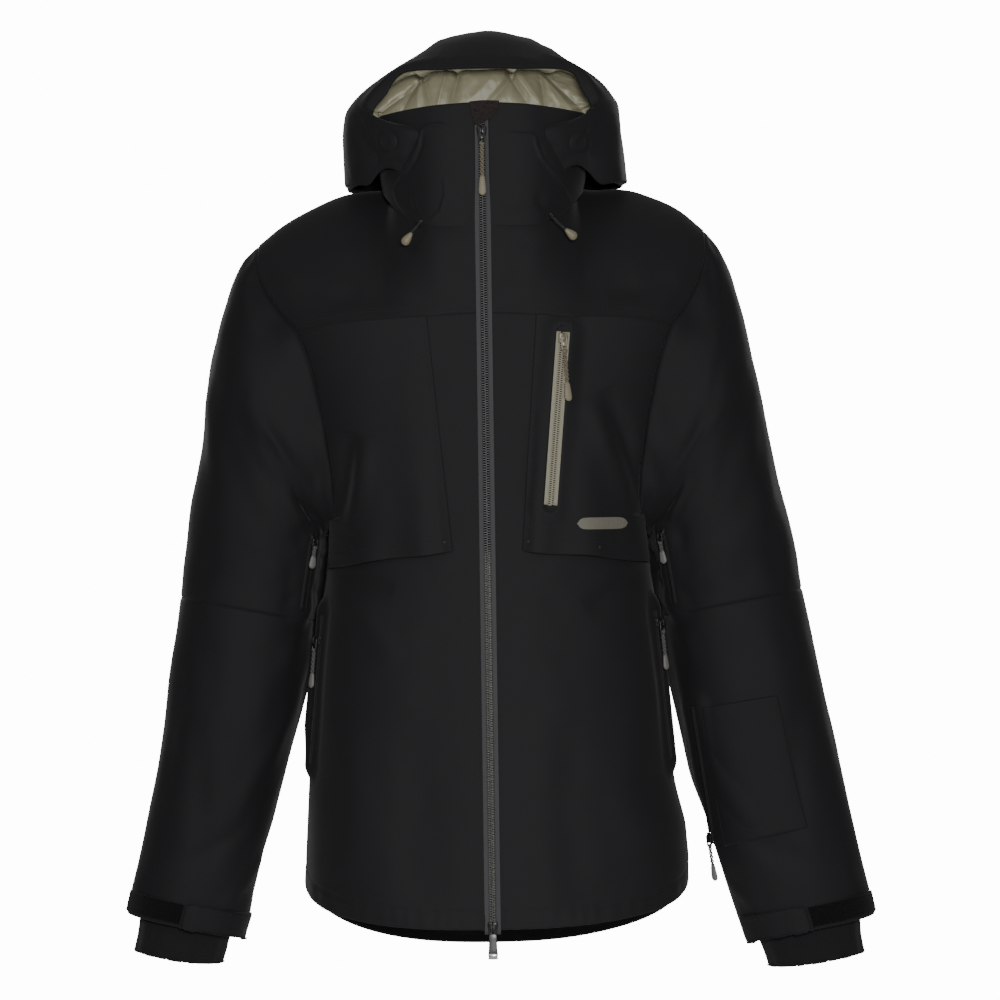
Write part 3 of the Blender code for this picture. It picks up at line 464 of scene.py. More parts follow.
# ---- finishes -----------------------------------------------------------------------------------
class Look:
    """A Principled finish that is built up by its methods."""

    def __init__(self, name, color, roughness, metallic=0.0, **constants):
        self.material = bpy.data.materials.new(name)
        self.material.use_nodes = True
        self.tree = self.material.node_tree
        self.shader = self.tree.nodes["Principled BSDF"]
        self.color = (*color, 1.0)
        self.roughness = roughness
        self.shader.inputs["Base Color"].default_value = self.color
        self.shader.inputs["Roughness"].default_value = roughness
        self.shader.inputs["Metallic"].default_value = metallic
        for socket, value in constants.items():
            self.shader.inputs[socket.replace("_", " ")].default_value = value
        self.height = None

    def node(self, kind, sockets=None, **settings):
        made = self.tree.nodes.new("ShaderNode" + kind)
        for key, value in settings.items():
            setattr(made, key, value)
        for key, value in (sockets or {}).items():
            if isinstance(value, bpy.types.NodeSocket):
                self.tree.links.new(value, made.inputs[key])
            else:
                made.inputs[key].default_value = value
        return made

    def place(self, cloth=True):
        """Where the pattern is read: along the cloth in metres, or in the object's own axes."""
        where = self.node("TexCoord")
        return where.outputs["UV" if cloth else "Object"]

    def math(self, operation, a, b=0.0):
        return self.node("Math", {0: a, 1: b}, operation=operation).outputs[0]

    def noise(self, place, scale, detail=2.0, roughness=0.5, distortion=0.0):
        return self.node("TexNoise",
                         {"Vector": place, "Scale": scale, "Detail": detail, "Roughness": roughness,
                                      "Distortion": distortion}).outputs["Fac"]

    def threads(self, place, pitch, turn=0.0):
        """Height of a plain weave, 0 to 1: warp and weft threads crossing over and under."""
        split = self.node("SeparateXYZ", {0: place})
        u, v = split.outputs["X"], split.outputs["Y"]
        if turn:
            a, b = math.cos(turn), math.sin(turn)
            u, v = (self.math("ADD", self.math("MULTIPLY", u, a), self.math("MULTIPLY", v, b)),
                    self.math("SUBTRACT", self.math("MULTIPLY", v, a), self.math("MULTIPLY", u, b)))
        k = math.pi / pitch
        su = self.math("SINE", self.math("MULTIPLY", u, k))
        sv = self.math("SINE", self.math("MULTIPLY", v, k))
        over = self.math("MULTIPLY", su, sv)
        ribs = self.math("MULTIPLY", self.math("ABSOLUTE", su), self.math("ABSOLUTE", sv))
        return self.math("ADD", self.math("MULTIPLY", over, 0.25), self.math("MULTIPLY", ribs, 0.75))

    def ribs(self, place, pitch, axis="X"):
        split = self.node("SeparateXYZ", {0: place})
        wave = self.math("SINE", self.math("MULTIPLY", split.outputs[axis], 2 * math.pi / pitch))
        return self.math("ADD", self.math("MULTIPLY", wave, 0.5), 0.5)

    def mottle(self, factor, low, high):
        """Multiply the colour by low where the factor is 0 and high where it is 1."""
        socket = self.shader.inputs["Base Color"]
        before = socket.links[0].from_socket if socket.links else None
        amount = self.node("MapRange", {"Value": factor, "To Min": low, "To Max": high}).outputs["Result"]
        scaled = self.node("VectorMath",
                           {0: before if before is not None else self.color[:3], "Scale": amount},
                           operation="SCALE")
        self.tree.links.new(scaled.outputs["Vector"], socket)
        return self

    def tint(self, factor, color, low=0.0, high=1.0):
        """Turn towards another colour as the factor goes from low to high."""
        socket = self.shader.inputs["Base Color"]
        before = socket.links[0].from_socket if socket.links else None
        amount = self.node("MapRange", {"Value": factor, "From Min": low, "From Max": high}).outputs["Result"]
        blend = self.node("Mix", {"Factor": amount, "B": (*color, 1.0)}, data_type="RGBA")
        mixer = [s for s in blend.inputs if s.type == "RGBA"]
        mixer[1].default_value = (*color, 1.0)
        if before is not None:
            self.tree.links.new(before, mixer[0])
        else:
            mixer[0].default_value = self.color
        result = [s for s in blend.outputs if s.type == "RGBA"][0]
        self.tree.links.new(result, socket)
        return self

    def polish(self, factor, low, high):
        amount = self.node("MapRange", {"Value": factor, "To Min": low, "To Max": high}).outputs["Result"]
        self.tree.links.new(amount, self.shader.inputs["Roughness"])
        return self

    def bump(self, height, distance, strength=1.0):
        made = self.node("Bump", {"Height": height, "Distance": distance, "Strength": strength})
        if self.height is not None:
            self.tree.links.new(self.height, made.inputs["Normal"])
        self.height = made.outputs["Normal"]
        self.tree.links.new(self.height, self.shader.inputs["Normal"])
        return self


def woven(name, color, pitch, depth, roughness, mottling=0.10, cloth=True, turn=0.0, soft=0.0, **constants):
    """A woven cloth: threads, darker between them and lighter on their tops as painted shade and light, a
    heather of lighter and darker yarns, and slow unevenness.
    """
    look = Look(name, color, roughness, **constants)
    place = look.place(cloth)
    threads = look.threads(place, pitch, turn)
    yarns = look.noise(place, 0.55 / pitch, 2.0, 0.65)
    slow = look.noise(place, 9.0, 3.0, 0.55)
    # painted shade between the threads and painted light on their tops, following the weave's height
    look.mottle(threads, 0.86, 1.10)
    look.mottle(yarns, 1 - mottling * 2.2, 1 + mottling * 2.2)
    look.mottle(slow, 0.94, 1.06)
    look.polish(yarns, roughness - 0.06, roughness + 0.06)
    look.bump(look.noise(place, 26.0, 4.0, 0.6), 0.5 * MM + soft, 0.35)
    look.bump(look.noise(place, 160.0, 3.0, 0.6), 0.12 * MM, 0.5)
    look.bump(threads, depth, 0.8)
    return look.material


def finishes():
    made = {}
    sheen = dict(Sheen_Weight=0.07, Sheen_Roughness=0.45, Specular_IOR_Level=0.22)
    made["shell"] = woven("shell_cloth", (0.0098, 0.0098, 0.0112), 0.55 * MM, 0.05 * MM, 0.70, 0.12, **sheen)
    made["sleeve"] = woven("sleeve_cloth", (0.0078, 0.0078, 0.0092), 0.55 * MM, 0.05 * MM, 0.70, 0.12,
                           **sheen)
    made["facing"] = woven("facing_cloth", (0.0075, 0.0075, 0.0080), 0.55 * MM, 0.08 * MM, 0.74, 0.08,
                           **sheen)
    made["gaiter"] = knitted("gaiter_knit", (0.0095, 0.0095, 0.0106), 1.1 * MM, 0.16 * MM)
    made["lining"] = satin("lining_satin", (0.292, 0.276, 0.179))
    made["tape"] = woven("zip_tape_weave", (0.046, 0.046, 0.049), 0.8 * MM, 0.14 * MM, 0.74, 0.10,
                         cloth=False)
    made["khaki_tape"] = woven("khaki_tape_weave", (0.285, 0.268, 0.200), 0.8 * MM, 0.14 * MM, 0.68, 0.08,
                               cloth=False)
    made["dark_tape"] = woven("dark_tape_weave", (0.0088, 0.0088, 0.0100), 0.8 * MM, 0.14 * MM, 0.74, 0.10,
                              cloth=False)
    made["shell_plain"] = woven("shell_piping", (0.0120, 0.0120, 0.0130), 0.5 * MM, 0.08 * MM, 0.70, 0.08,
                                cloth=False)
    made["webbing"] = woven("webbing_weave", (0.020, 0.020, 0.021), 1.0 * MM, 0.22 * MM, 0.76, 0.08,
                            cloth=False)
    made["teeth"] = moulded("teeth_plastic", (0.0060, 0.0060, 0.0065), 0.46, 0.03 * MM)
    made["khaki_teeth"] = moulded("khaki_teeth_plastic", (0.270, 0.250, 0.180), 0.42, 0.03 * MM)
    made["metal"] = lacquer("black_lacquer", (0.0075, 0.0075, 0.0080))
    made["khaki_metal"] = lacquer("khaki_lacquer", (0.215, 0.196, 0.135))
    made["nickel"] = Look("nickel_tip", (0.62, 0.62, 0.63), 0.28, 1.0).material
    brushed(made["nickel"])
    made["rubber"] = moulded("khaki_rubber", (0.190, 0.165, 0.108), 0.52, 0.05 * MM)
    made["grey_rubber"] = moulded("grey_rubber", (0.160, 0.155, 0.145), 0.52, 0.05 * MM)
    made["braid"] = braided("khaki_braid", (0.210, 0.178, 0.116), (0.030, 0.026, 0.020))
    made["grey_braid"] = braided("grey_braid", (0.105, 0.102, 0.095), (0.016, 0.016, 0.016))
    made["cord"] = braided("drawcord_braid", (0.016, 0.016, 0.017), (0.006, 0.006, 0.006))
    made["fuzz"] = fuzzy("loop_pile", (0.0042, 0.0042, 0.0044))
    made["tricot"] = fuzzy("brushed_tricot", (0.026, 0.021, 0.020), 0.35)
    made["thread"] = woven("sewing_thread", (0.0100, 0.0100, 0.0108), 0.3 * MM, 0.05 * MM, 0.55, 0.05,
                           cloth=False)
    made["khaki_thread"] = woven("khaki_thread", (0.150, 0.138, 0.094), 0.3 * MM, 0.05 * MM, 0.5, 0.05,
                                 cloth=False)
    made["print"] = printed("raised_print", (0.150, 0.140, 0.112))
    return made


def knitted(name, color, pitch, depth):
    look = Look(name, color, 0.84, Sheen_Weight=0.06, Sheen_Roughness=0.5, Specular_IOR_Level=0.18)
    place = look.place()
    ribs = look.ribs(place, pitch * 1.7, "X")
    loops = look.ribs(place, pitch * 0.8, "Y")
    # painted shade in the troughs of the ribs and painted light on their crests; the fine noise is random
    # tone
    look.mottle(ribs, 0.72, 1.2).mottle(look.noise(place, 900.0), 0.8, 1.2)
    look.bump(look.noise(place, 40.0, 3.0), 0.5 * MM, 0.4)
    look.bump(ribs, depth, 0.9).bump(loops, depth * 0.4, 0.7)
    return look.material


def satin(name, color):
    """Smooth lining with a fine crosswise yarn, shinier across its folds."""
    look = Look(name, color, 0.36, Specular_IOR_Level=0.42, Sheen_Weight=0.12, Sheen_Roughness=0.35,
                Anisotropic=0.45)
    place = look.place()
    ribs = look.ribs(place, 0.42 * MM, "Y")
    # painted shade in the troughs of the fine yarn and painted light on its crests
    look.mottle(ribs, 0.95, 1.04)
    look.mottle(look.noise(place, 22.0, 4.0, 0.6), 0.90, 1.08)
    look.mottle(look.noise(place, 700.0, 2.0), 0.95, 1.05)
    look.polish(look.noise(place, 70.0, 3.0), 0.28, 0.46)
    look.bump(look.noise(place, 60.0, 5.0, 0.62, 0.6), 0.9 * MM, 0.5)
    look.bump(ribs, 0.03 * MM, 0.6)
    return look.material


def moulded(name, color, roughness, grain):
    look = Look(name, color, roughness, Specular_IOR_Level=0.5)
    place = look.place(False)
    look.mottle(look.noise(place, 420.0, 3.0), 0.88, 1.10)
    look.polish(look.noise(place, 260.0, 4.0), roughness - 0.07, roughness + 0.10)
    look.bump(look.noise(place, 1600.0, 3.0), grain, 0.6)
    return look.material


def lacquer(name, color):
    """Painted metal whose coat has worn a little at random."""
    look = Look(name, color, 0.42, 0.25, Coat_Weight=0.2, Coat_Roughness=0.2)
    place = look.place(False)
    wear = look.noise(place, 340.0, 5.0, 0.7)
    look.tint(wear, tuple(min(1.0, c * 2.6 + 0.02) for c in color), 0.60, 0.86)
    look.polish(look.noise(place, 520.0, 4.0), 0.34, 0.52)
    look.bump(look.noise(place, 1200.0, 2.0), 0.02 * MM, 0.5)
    return look.material


def brushed(material):
    tree = material.node_tree
    where = tree.nodes.new("ShaderNodeTexCoord")
    stretch = tree.nodes.new("ShaderNodeMapping")
    stretch.inputs["Scale"].default_value = (400.0, 400.0, 9000.0)
    grain = tree.nodes.new("ShaderNodeTexNoise")
    grain.inputs["Scale"].default_value = 1.0
    rough = tree.nodes.new("ShaderNodeMapRange")
    rough.inputs["To Min"].default_value, rough.inputs["To Max"].default_value = 0.18, 0.42
    tree.links.new(where.outputs["Object"], stretch.inputs["Vector"])
    tree.links.new(stretch.outputs["Vector"], grain.inputs["Vector"])
    tree.links.new(grain.outputs["Fac"], rough.inputs["Value"])
    tree.links.new(rough.outputs["Result"], tree.nodes["Principled BSDF"].inputs["Roughness"])


def braided(name, color, gap_shade_color):
    """Braid: two sets of slanting yarns, with painted shade in the gaps between them."""
    look = Look(name, color, 0.66, Sheen_Weight=0.15, Specular_IOR_Level=0.3)
    place = look.place()
    split = look.node("SeparateXYZ", {0: place})
    u, v = split.outputs["X"], split.outputs["Y"]
    k = 2 * math.pi / (1.5 * MM)
    one = look.math("SINE", look.math("MULTIPLY", look.math("ADD", u, v), k))
    two = look.math("SINE", look.math("MULTIPLY", look.math("SUBTRACT", u, v), k))
    cross = look.math("ADD", look.math("MULTIPLY", look.math("MAXIMUM", one, two), 0.5), 0.5)
    gaps = look.math("SUBTRACT", 1.0, cross)
    # painted shade: the gaps between the yarns are tinted towards the dark colour
    look.tint(gaps, gap_shade_color, 0.30, 0.62)
    look.mottle(look.noise(place, 1500.0), 0.85, 1.15)
    look.bump(cross, 0.18 * MM, 0.9)
    return look.material


def fuzzy(name, color, height=1.0):
    """A napped face of tiny loops."""
    look = Look(name, color, 0.95, Sheen_Weight=0.06, Sheen_Roughness=0.6, Specular_IOR_Level=0.08)
    place = look.place()
    cells = look.node("TexVoronoi", {"Vector": place, "Scale": 1100.0, "Randomness": 1.0}).outputs["Distance"]
    # painted light on the tops of the loops and painted shade between them; the slower noise is random tone
    look.mottle(cells, 1.55, 0.35).mottle(look.noise(place, 260.0, 4.0, 0.7), 0.55, 1.45)
    look.bump(look.noise(place, 420.0, 4.0, 0.7), 0.5 * MM * height, 0.8)
    look.bump(cells, -0.3 * MM * height, 0.8)
    return look.material


def printed(name, color):
    look = Look(name, color, 0.55, Specular_IOR_Level=0.4)
    place = look.place()
    look.mottle(look.noise(place, 300.0, 3.0), 0.9, 1.1)
    look.bump(look.threads(place, 0.55 * MM), 0.05 * MM, 0.6)
    look.polish(look.noise(place, 500.0), 0.45, 0.62)
    return look.material


# ---- the garment's surfaces, as functions ------------------------------------------------------
def front_y(z):
    t = (z - ZIP_TOP[2]) / (ZIP_BOTTOM[2] - ZIP_TOP[2])
    return mix(ZIP_TOP[1], ZIP_BOTTOM[1], t)


def torso(angle, z, inset=0.0):
    """Point of the body at an angle in degrees: 0 front, 90 wearer's left, 180 back."""
    angle, z = np.broadcast_arrays(np.asarray(angle, float), np.asarray(z, float))
    turn = np.radians(angle)
    wide = reading(BODY, z, 1) - inset
    deep = np.where(np.cos(turn) > 0, MIDDLE_Y - front_y(z), reading(BODY, z, 2) - MIDDLE_Y) - inset
    return np.stack([wide * power(np.sin(turn), BODY_POWER),
                     MIDDLE_Y - deep * power(np.cos(turn), BODY_POWER), z], -1)


def angle_at(x, z):
    ratio = np.clip(np.asarray(x, float) / reading(BODY, z, 1), 0, 1)
    return np.degrees(np.arcsin(ratio ** (BODY_POWER / 2)))


def body_at(x, z, lift=0.0):
    """Point on the front at x and z, a lift in front of the cloth's resting surface."""
    x, z = np.broadcast_arrays(np.asarray(x, float), np.asarray(z, float))
    point = torso(angle_at(np.abs(x), z), z, inset=-lift)
    point[..., 0] = x
    return point


def armhole(z, back=False):
    z = np.asarray(z, float)
    x = reading(ARMHOLE, z, 2 if back else 1)
    angle = angle_at(x, z)
    point = torso(180 - angle if back else angle, z)
    rise = np.clip((z + 0.120) / (TIP[2] + 0.120), 0, 1)
    point[..., 1] = mix(MIDDLE_Y, point[..., 1], np.sqrt(1 - rise**2))
    return point


def yoke_seam(x):
    return YOKE_FRONT - YOKE_DROP * np.minimum(np.abs(x) / 0.2, 1) ** 1.5


def hem_front(angle):
    return mix(HEM_FRONT, HEM_SIDE, (angle / 90) ** 2)


def hem_back(angle):
    return mix(HEM_SIDE, HEM_BACK - 0.0075, np.clip(np.sin(np.radians(angle - 90)), 0, 1))


def evened(P, fractions):
    """Each row of a dense grid, read again at these fractions of its own length."""
    out = np.empty((len(P), len(fractions), 3))
    for r, row in enumerate(P):
        gone = np.concatenate([[0], np.cumsum(np.linalg.norm(np.diff(row, axis=0), axis=1))])
        gone /= gone[-1]
        for c in range(3):
            out[r, :, c] = np.interp(fractions, gone, row[:, c])
    return out


def resampled(P, columns, rows):
    P = evened(P, columns)
    return np.swapaxes(evened(np.swapaxes(P, 0, 1), rows), 0, 1)


def coons(bottom, top, left, right, s, t):
    """Grid between four edge curves; each is a function of an array of 0 to 1."""
    low, high, near, far = bottom(s), top(s), left(t), right(t)
    S, T = s[None, :, None], t[:, None, None]
    edges = mix(low[None], high[None], T) + mix(near[:, None], far[:, None], S)
    ends = mix(mix(low[0], low[-1], S), mix(high[0], high[-1], S), T)
    return edges - ends


def curve(points):
    points = np.asarray(points, float)
    return lambda t: spline(points, np.asarray(t, float))


def armhole_ring(angles, step_out=0.0):
    middle, reach = (TIP[2] + ARMPIT) / 2, (TIP[2] - ARMPIT) / 2
    turn = np.radians(angles)
    z = middle + reach * np.cos(turn)
    front, back = armhole(z), armhole(z, True)
    point = np.where((np.mod(turn, 2 * np.pi) > np.pi)[..., None], back, front)
    return point + np.array([0.55, 0, -0.83]) * step_out


def sleeve(k, angles, lift=0.0):
    """Points of the left sleeve: k is 0 at the armhole and 8 at the hem, angle 0 outwards and 90 in front."""
    k = np.atleast_1d(np.asarray(k, float))
    angles = np.atleast_1d(np.asarray(angles, float))
    turn = np.radians(angles)
    rings = [armhole_ring(angles)]
    for ox, oz, ix, iz, deep in SLEEVE:
        outer, inner = np.array([ox, MIDDLE_Y, oz]), np.array([ix, MIDDLE_Y, iz])
        centre, half = (outer + inner) / 2, (outer - inner) / 2
        half = half * (1 + lift / np.linalg.norm(half))
        ring = centre + half * power(np.cos(turn), SLEEVE_POWER)[:, None]
        ring[:, 1] -= (deep + lift) * power(np.sin(turn), SLEEVE_POWER)
        # behind the vents and the pass pocket the arm rests against the body
        rest = np.interp(len(rings), [0, 1, 2, 3, 4, 5, 6, 7], [0, 8.0, 13.0, 15.0, 16.0, 14.5, 6.5, 0]) * MM
        ring[:, 0] -= rest * step(0.0, -0.4, np.sin(turn)) * step(0.2, -0.6, np.cos(turn))
        rings.append(ring)
    return spline(np.array(rings), k / (len(rings) - 1))


# ---- folds ---------------------------------------------------------------------------------------
def edge_fade(P, reach, sides="lrbt"):
    """0 at the chosen edges of a grid and 1 beyond the reach."""
    across = np.concatenate([np.zeros((len(P), 1)),
                             np.cumsum(np.linalg.norm(np.diff(P, axis=1), axis=2), axis=1)], 1)
    up = np.concatenate([np.zeros((1, P.shape[1])),
                         np.cumsum(np.linalg.norm(np.diff(P, axis=0), axis=2), axis=0)], 0)
    fade = np.ones(P.shape[:2])
    for side, away in (("l", across), ("r", across[:, -1:] - across), ("b", up), ("t", up[-1:] - up)):
        if side in sides:
            fade = fade * step(0, reach, away)
    return fade


def front_folds(x, z):
    """Outward shift of the front of the body: broad drape, then the creases that show."""
    side = np.sign(x)
    a = np.abs(x)
    low = step(-0.36, -0.62, z)
    drape = 2.4 * MM * low * np.sin(x * 31 + 0.7 * side) * step(0.02, 0.07, a)
    drape += 1.8 * MM * hashed(x, z * 0.45, 0.085, 3.1) * step(0.012, 0.05, a)
    drape += 0.9 * MM * hashed(x, z, 0.034, 7.7) * step(0.012, 0.04, a)
    marks = np.zeros(np.shape(x))
    for path, height, width in FRONT_CREASES:
        marks = marks + crease(x, z, path, 1.5 * height, width)
    return drape + marks


# Creases of the front: (x, z) path, height and width; a negative height is a valley
FRONT_CREASES = [
    (((-0.141, -0.257), (-0.150, -0.300), (-0.158, -0.352)), -4.2 * MM, 0.011),
    (((-0.128, -0.262), (-0.133, -0.310), (-0.148, -0.365)), 2.4 * MM, 0.012),
    (((0.126, -0.215), (0.146, -0.262), (0.162, -0.310), (0.180, -0.392)), -3.8 * MM, 0.011),
    (((0.112, -0.225), (0.128, -0.275), (0.150, -0.335)), 2.2 * MM, 0.012),
    (((-0.172, -0.402), (-0.140, -0.412), (-0.100, -0.425)), -2.4 * MM, 0.010),
    (((-0.168, -0.425), (-0.130, -0.452), (-0.098, -0.500)), 1.8 * MM, 0.014),
    (((0.172, -0.405), (0.140, -0.424), (0.104, -0.448)), -2.0 * MM, 0.010),
    (((-0.150, -0.560), (-0.140, -0.650), (-0.152, -0.735)), 2.2 * MM, 0.020),
    (((-0.085, -0.540), (-0.078, -0.650), (-0.090, -0.770)), -2.0 * MM, 0.022),
    (((0.150, -0.540), (0.144, -0.650), (0.160, -0.740)), 2.0 * MM, 0.020),
    (((0.090, -0.560), (0.080, -0.660), (0.094, -0.770)), -2.0 * MM, 0.022),
    (((0.050, -0.230), (0.047, -0.300), (0.040, -0.370)), -1.0 * MM, 0.008),
]


def sleeve_folds(k, angles, side):
    """Outward shift of a sleeve over rings k and angles; side is 1 on the wearer's left."""
    K, A = np.meshgrid(k, angles, indexing="ij")
    T = np.radians(A)
    swirl = np.stack([np.cos(T), np.sin(T)], -1)
    flat = [noise.noise(Vector((c[0] * 0.9, c[1] * 0.9, kk * 0.75 + 9.0 * side))) for c, kk in
            zip(swirl.reshape(-1, 2), K.ravel())]
    shift = 3.4 * MM * np.array(flat).reshape(K.shape)
    flat = [noise.noise(Vector((c[0] * 2.6, c[1] * 2.6, kk * 1.9 + 5.0 * side))) for c, kk in
            zip(swirl.reshape(-1, 2), K.ravel())]
    shift += 1.5 * MM * np.array(flat).reshape(K.shape)
    for k0, a0, k1, a1, height, width in SLEEVE_CREASES:
        # distances in units of about 100 mm along the arm and around it
        u, v = K * 1.05, A / 57.3 * 0.68
        p, q = np.array([k0 * 1.05, a0 / 57.3 * 0.68]), np.array([k1 * 1.05, a1 / 57.3 * 0.68])
        d = q - p
        t = np.clip(((u - p[0]) * d[0] + (v - p[1]) * d[1]) / (d @ d), 0, 1)
        r = np.hypot(u - p[0] - t * d[0], v - p[1] - t * d[1])
        shift += height * bell(r / width) * np.sin(np.pi * np.clip(t * 0.94 + 0.03, 0, 1)) ** 0.7
    return shift


# Creases of the sleeve: from ring and angle to ring and angle, height, width in 100 mm
SLEEVE_CREASES = [
    (0.7, 150, 2.6, 96, -4.4 * MM, 0.13), (0.6, 128, 2.2, 70, 3.0 * MM, 0.13),
    (1.6, 160, 3.6, 118, -3.4 * MM, 0.12), (3.9, 172, 5.0, 120, -3.6 * MM, 0.11),
    (4.5, 176, 5.5, 128, 3.0 * MM, 0.11), (4.4, 60, 5.3, 30, -2.2 * MM, 0.12),
    (5.6, 160, 7.0, 110, 2.6 * MM, 0.14), (6.0, 60, 7.4, 92, -2.2 * MM, 0.14),
    (6.9, 140, 7.6, 60, -2.2 * MM, 0.09), (7.2, 176, 7.8, 120, 1.8 * MM, 0.08),
    (2.6, 40, 4.2, 62, 2.2 * MM, 0.20),
]


# ---- cloth pieces ----------------------------------------------------------------------------
LOOK = {}
PANEL, PLY = 2.5 * MM, 1.2 * MM


def area_of(P, closed=False):
    if closed:
        P = np.concatenate([P, P[:, :1]], axis=1)
    a, b = P[1:, 1:] - P[:-1, :-1], P[1:, :-1] - P[:-1, 1:]
    return float(np.linalg.norm(np.cross(a, b), axis=2).sum() / 2)


def met(P, slot):
    """The cloth rises to the underside of the zips that are sewn into it."""
    for top, low, out, owner in zip_lines():
        if owner != slot:
            continue
        out = out / np.linalg.norm(out)
        run = low - top
        away = P - top
        away = away - np.clip(away @ run / (run @ run), 0, 1)[..., None] * run
        height = away @ out
        aside = np.linalg.norm(away - height[..., None] * out, axis=-1)
        weight = (1 - step(0.0055, 0.024, aside)) * (1 - step(0.010, 0.018, np.abs(height + 0.004)))
        P = P + out * (weight * (-0.5 * MM - height))[..., None]
    return P


def cloth(name, P, thickness, look, slot, body, nodes=(), closed=False, held="stretched", blend=None,
          rests_on=()):
    """A cut piece of cloth in place of its CAD solid; its flat size is worked out but not kept."""
    P = met(P, slot)
    piece = shell(name, P, thickness, closed)
    piece.data.materials.append(LOOK[look])
    if blend:
        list(blend)
        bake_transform(piece)
    else:
        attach(piece, body)
    if nodes:
        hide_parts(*nodes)
    Q = np.concatenate([P, P[:, :1]], axis=1) if closed else P
    area = area_of(P, closed)
    across = float(np.linalg.norm(np.diff(Q, axis=1), axis=2).sum(axis=1).max())
    up = float(np.linalg.norm(np.diff(P, axis=0), axis=2).sum(axis=0).max())
    across, up = max(across, area / up), max(up, area / across)
    list(rests_on)
    return piece


def trim(name, parts, look, body, smooth=True, nodes=(), hangs=False):
    """Small hard or sewn pieces, merged into one object."""
    piece = merged(name, parts, smooth, hangs) if isinstance(parts, list) else parts
    piece.data.materials.append(LOOK[look])
    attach(piece, body)
    if nodes:
        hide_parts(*nodes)
    return piece


def seam_line(name, P, path_index, look="thread", body="body", slot="body_shell", **sizes):
    """Stitches along grid positions given as fractional (row, column) pairs."""
    N = normals(P)
    rc = np.asarray(path_index, float)
    r0, c0 = np.floor(rc[:, 0]).astype(int), np.floor(rc[:, 1]).astype(int)
    r0, c0 = np.clip(r0, 0, len(P) - 2), np.clip(c0, 0, P.shape[1] - 2)
    fr, fc = (rc[:, 0] - r0)[:, None], (rc[:, 1] - c0)[:, None]

    def read(G):
        return (G[r0, c0] * (1 - fr) * (1 - fc) + G[r0 + 1, c0] * fr * (1 - fc)
                + G[r0, c0 + 1] * (1 - fr) * fc + G[r0 + 1, c0 + 1] * fr * fc)
    return trim(name, stitches(read(P), read(N), **sizes), look, body, hangs=True)


FRONT_COLUMNS, FRONT_ROWS = ticks(88, 0.23), ticks(210, 0.65)


def front_panel_grid():
    """Dense resting surface of the wearer's left front panel."""
    s, t = np.linspace(0, 1, 240), np.linspace(0, 1, 160)
    top_x = torso(mix(3.0, angle_at(0.198, YOKE_FRONT), s), YOKE_FRONT)[:, 0]
    low, high = hem_front(90 * s), yoke_seam(top_x)
    z = mix(low[None, :], high[None, :] + 2.2 * MM, t[:, None])
    start = angle_at(ZIP_EDGE, z)
    hole = angle_at(reading(ARMHOLE, z, 1), z)
    end = np.where(z > ARMPIT, hole, 90.0)
    P = torso(mix(start, end, s[None, :]), z)
    return resampled(P, FRONT_COLUMNS, FRONT_ROWS)


def front_panels():
    rest = front_panel_grid()
    for side, name in ((1, "left"), (-1, "right")):
        P = rest if side > 0 else mirror(rest)
        shift = front_folds(P[..., 0], P[..., 2]) * edge_fade(P, 0.022, "lr") * edge_fade(P, 0.030, "bt")
        P = P + normals(P) * shift[..., None]
        zip_side, seam_side = ("left", "right") if side > 0 else ("right", "left")
        P = rolled(P, 2.6 * MM, high=True, reach=4 * MM, **{seam_side: True})
        P = rolled(P, 0.9 * MM, low=True, reach=2.5 * MM, **{zip_side: True})
        # the turned-up hem stands a little proud under its stitch line
        up = np.concatenate([np.zeros((1, P.shape[1])),
                             np.cumsum(np.linalg.norm(np.diff(P, axis=0), axis=2), 0)], 0)
        P = P + normals(P) * (-0.7 * MM * bell((up - 0.0185) / (1.4 * MM)))[..., None]
        P = P + normals(P) * (0.35 * MM * np.sin(P[..., 0] * 420 + np.sin(P[..., 0] * 130))
                              * bell((up - 0.010) / 0.009))[..., None]
        cloth("front_" + name, P, PANEL, "shell", "body_shell", "body", ["front_panel_" + name])
        rows = np.interp(0.0185, up[:, up.shape[1] // 2], np.arange(len(P)))
        columns = np.linspace(1.5, P.shape[1] - 2.5, 400)
        seam_line("hem_stitch_" + name, P, [(rows, c) for c in columns], pitch=3.6 * MM)
        edge = 3.2 if side > 0 else P.shape[1] - 4.2
        seam_line("zip_stitch_" + name, P, [(r, edge) for r in np.linspace(4, len(P) - 4, 700)],
                  pitch=3.2 * MM, long=2.2 * MM)


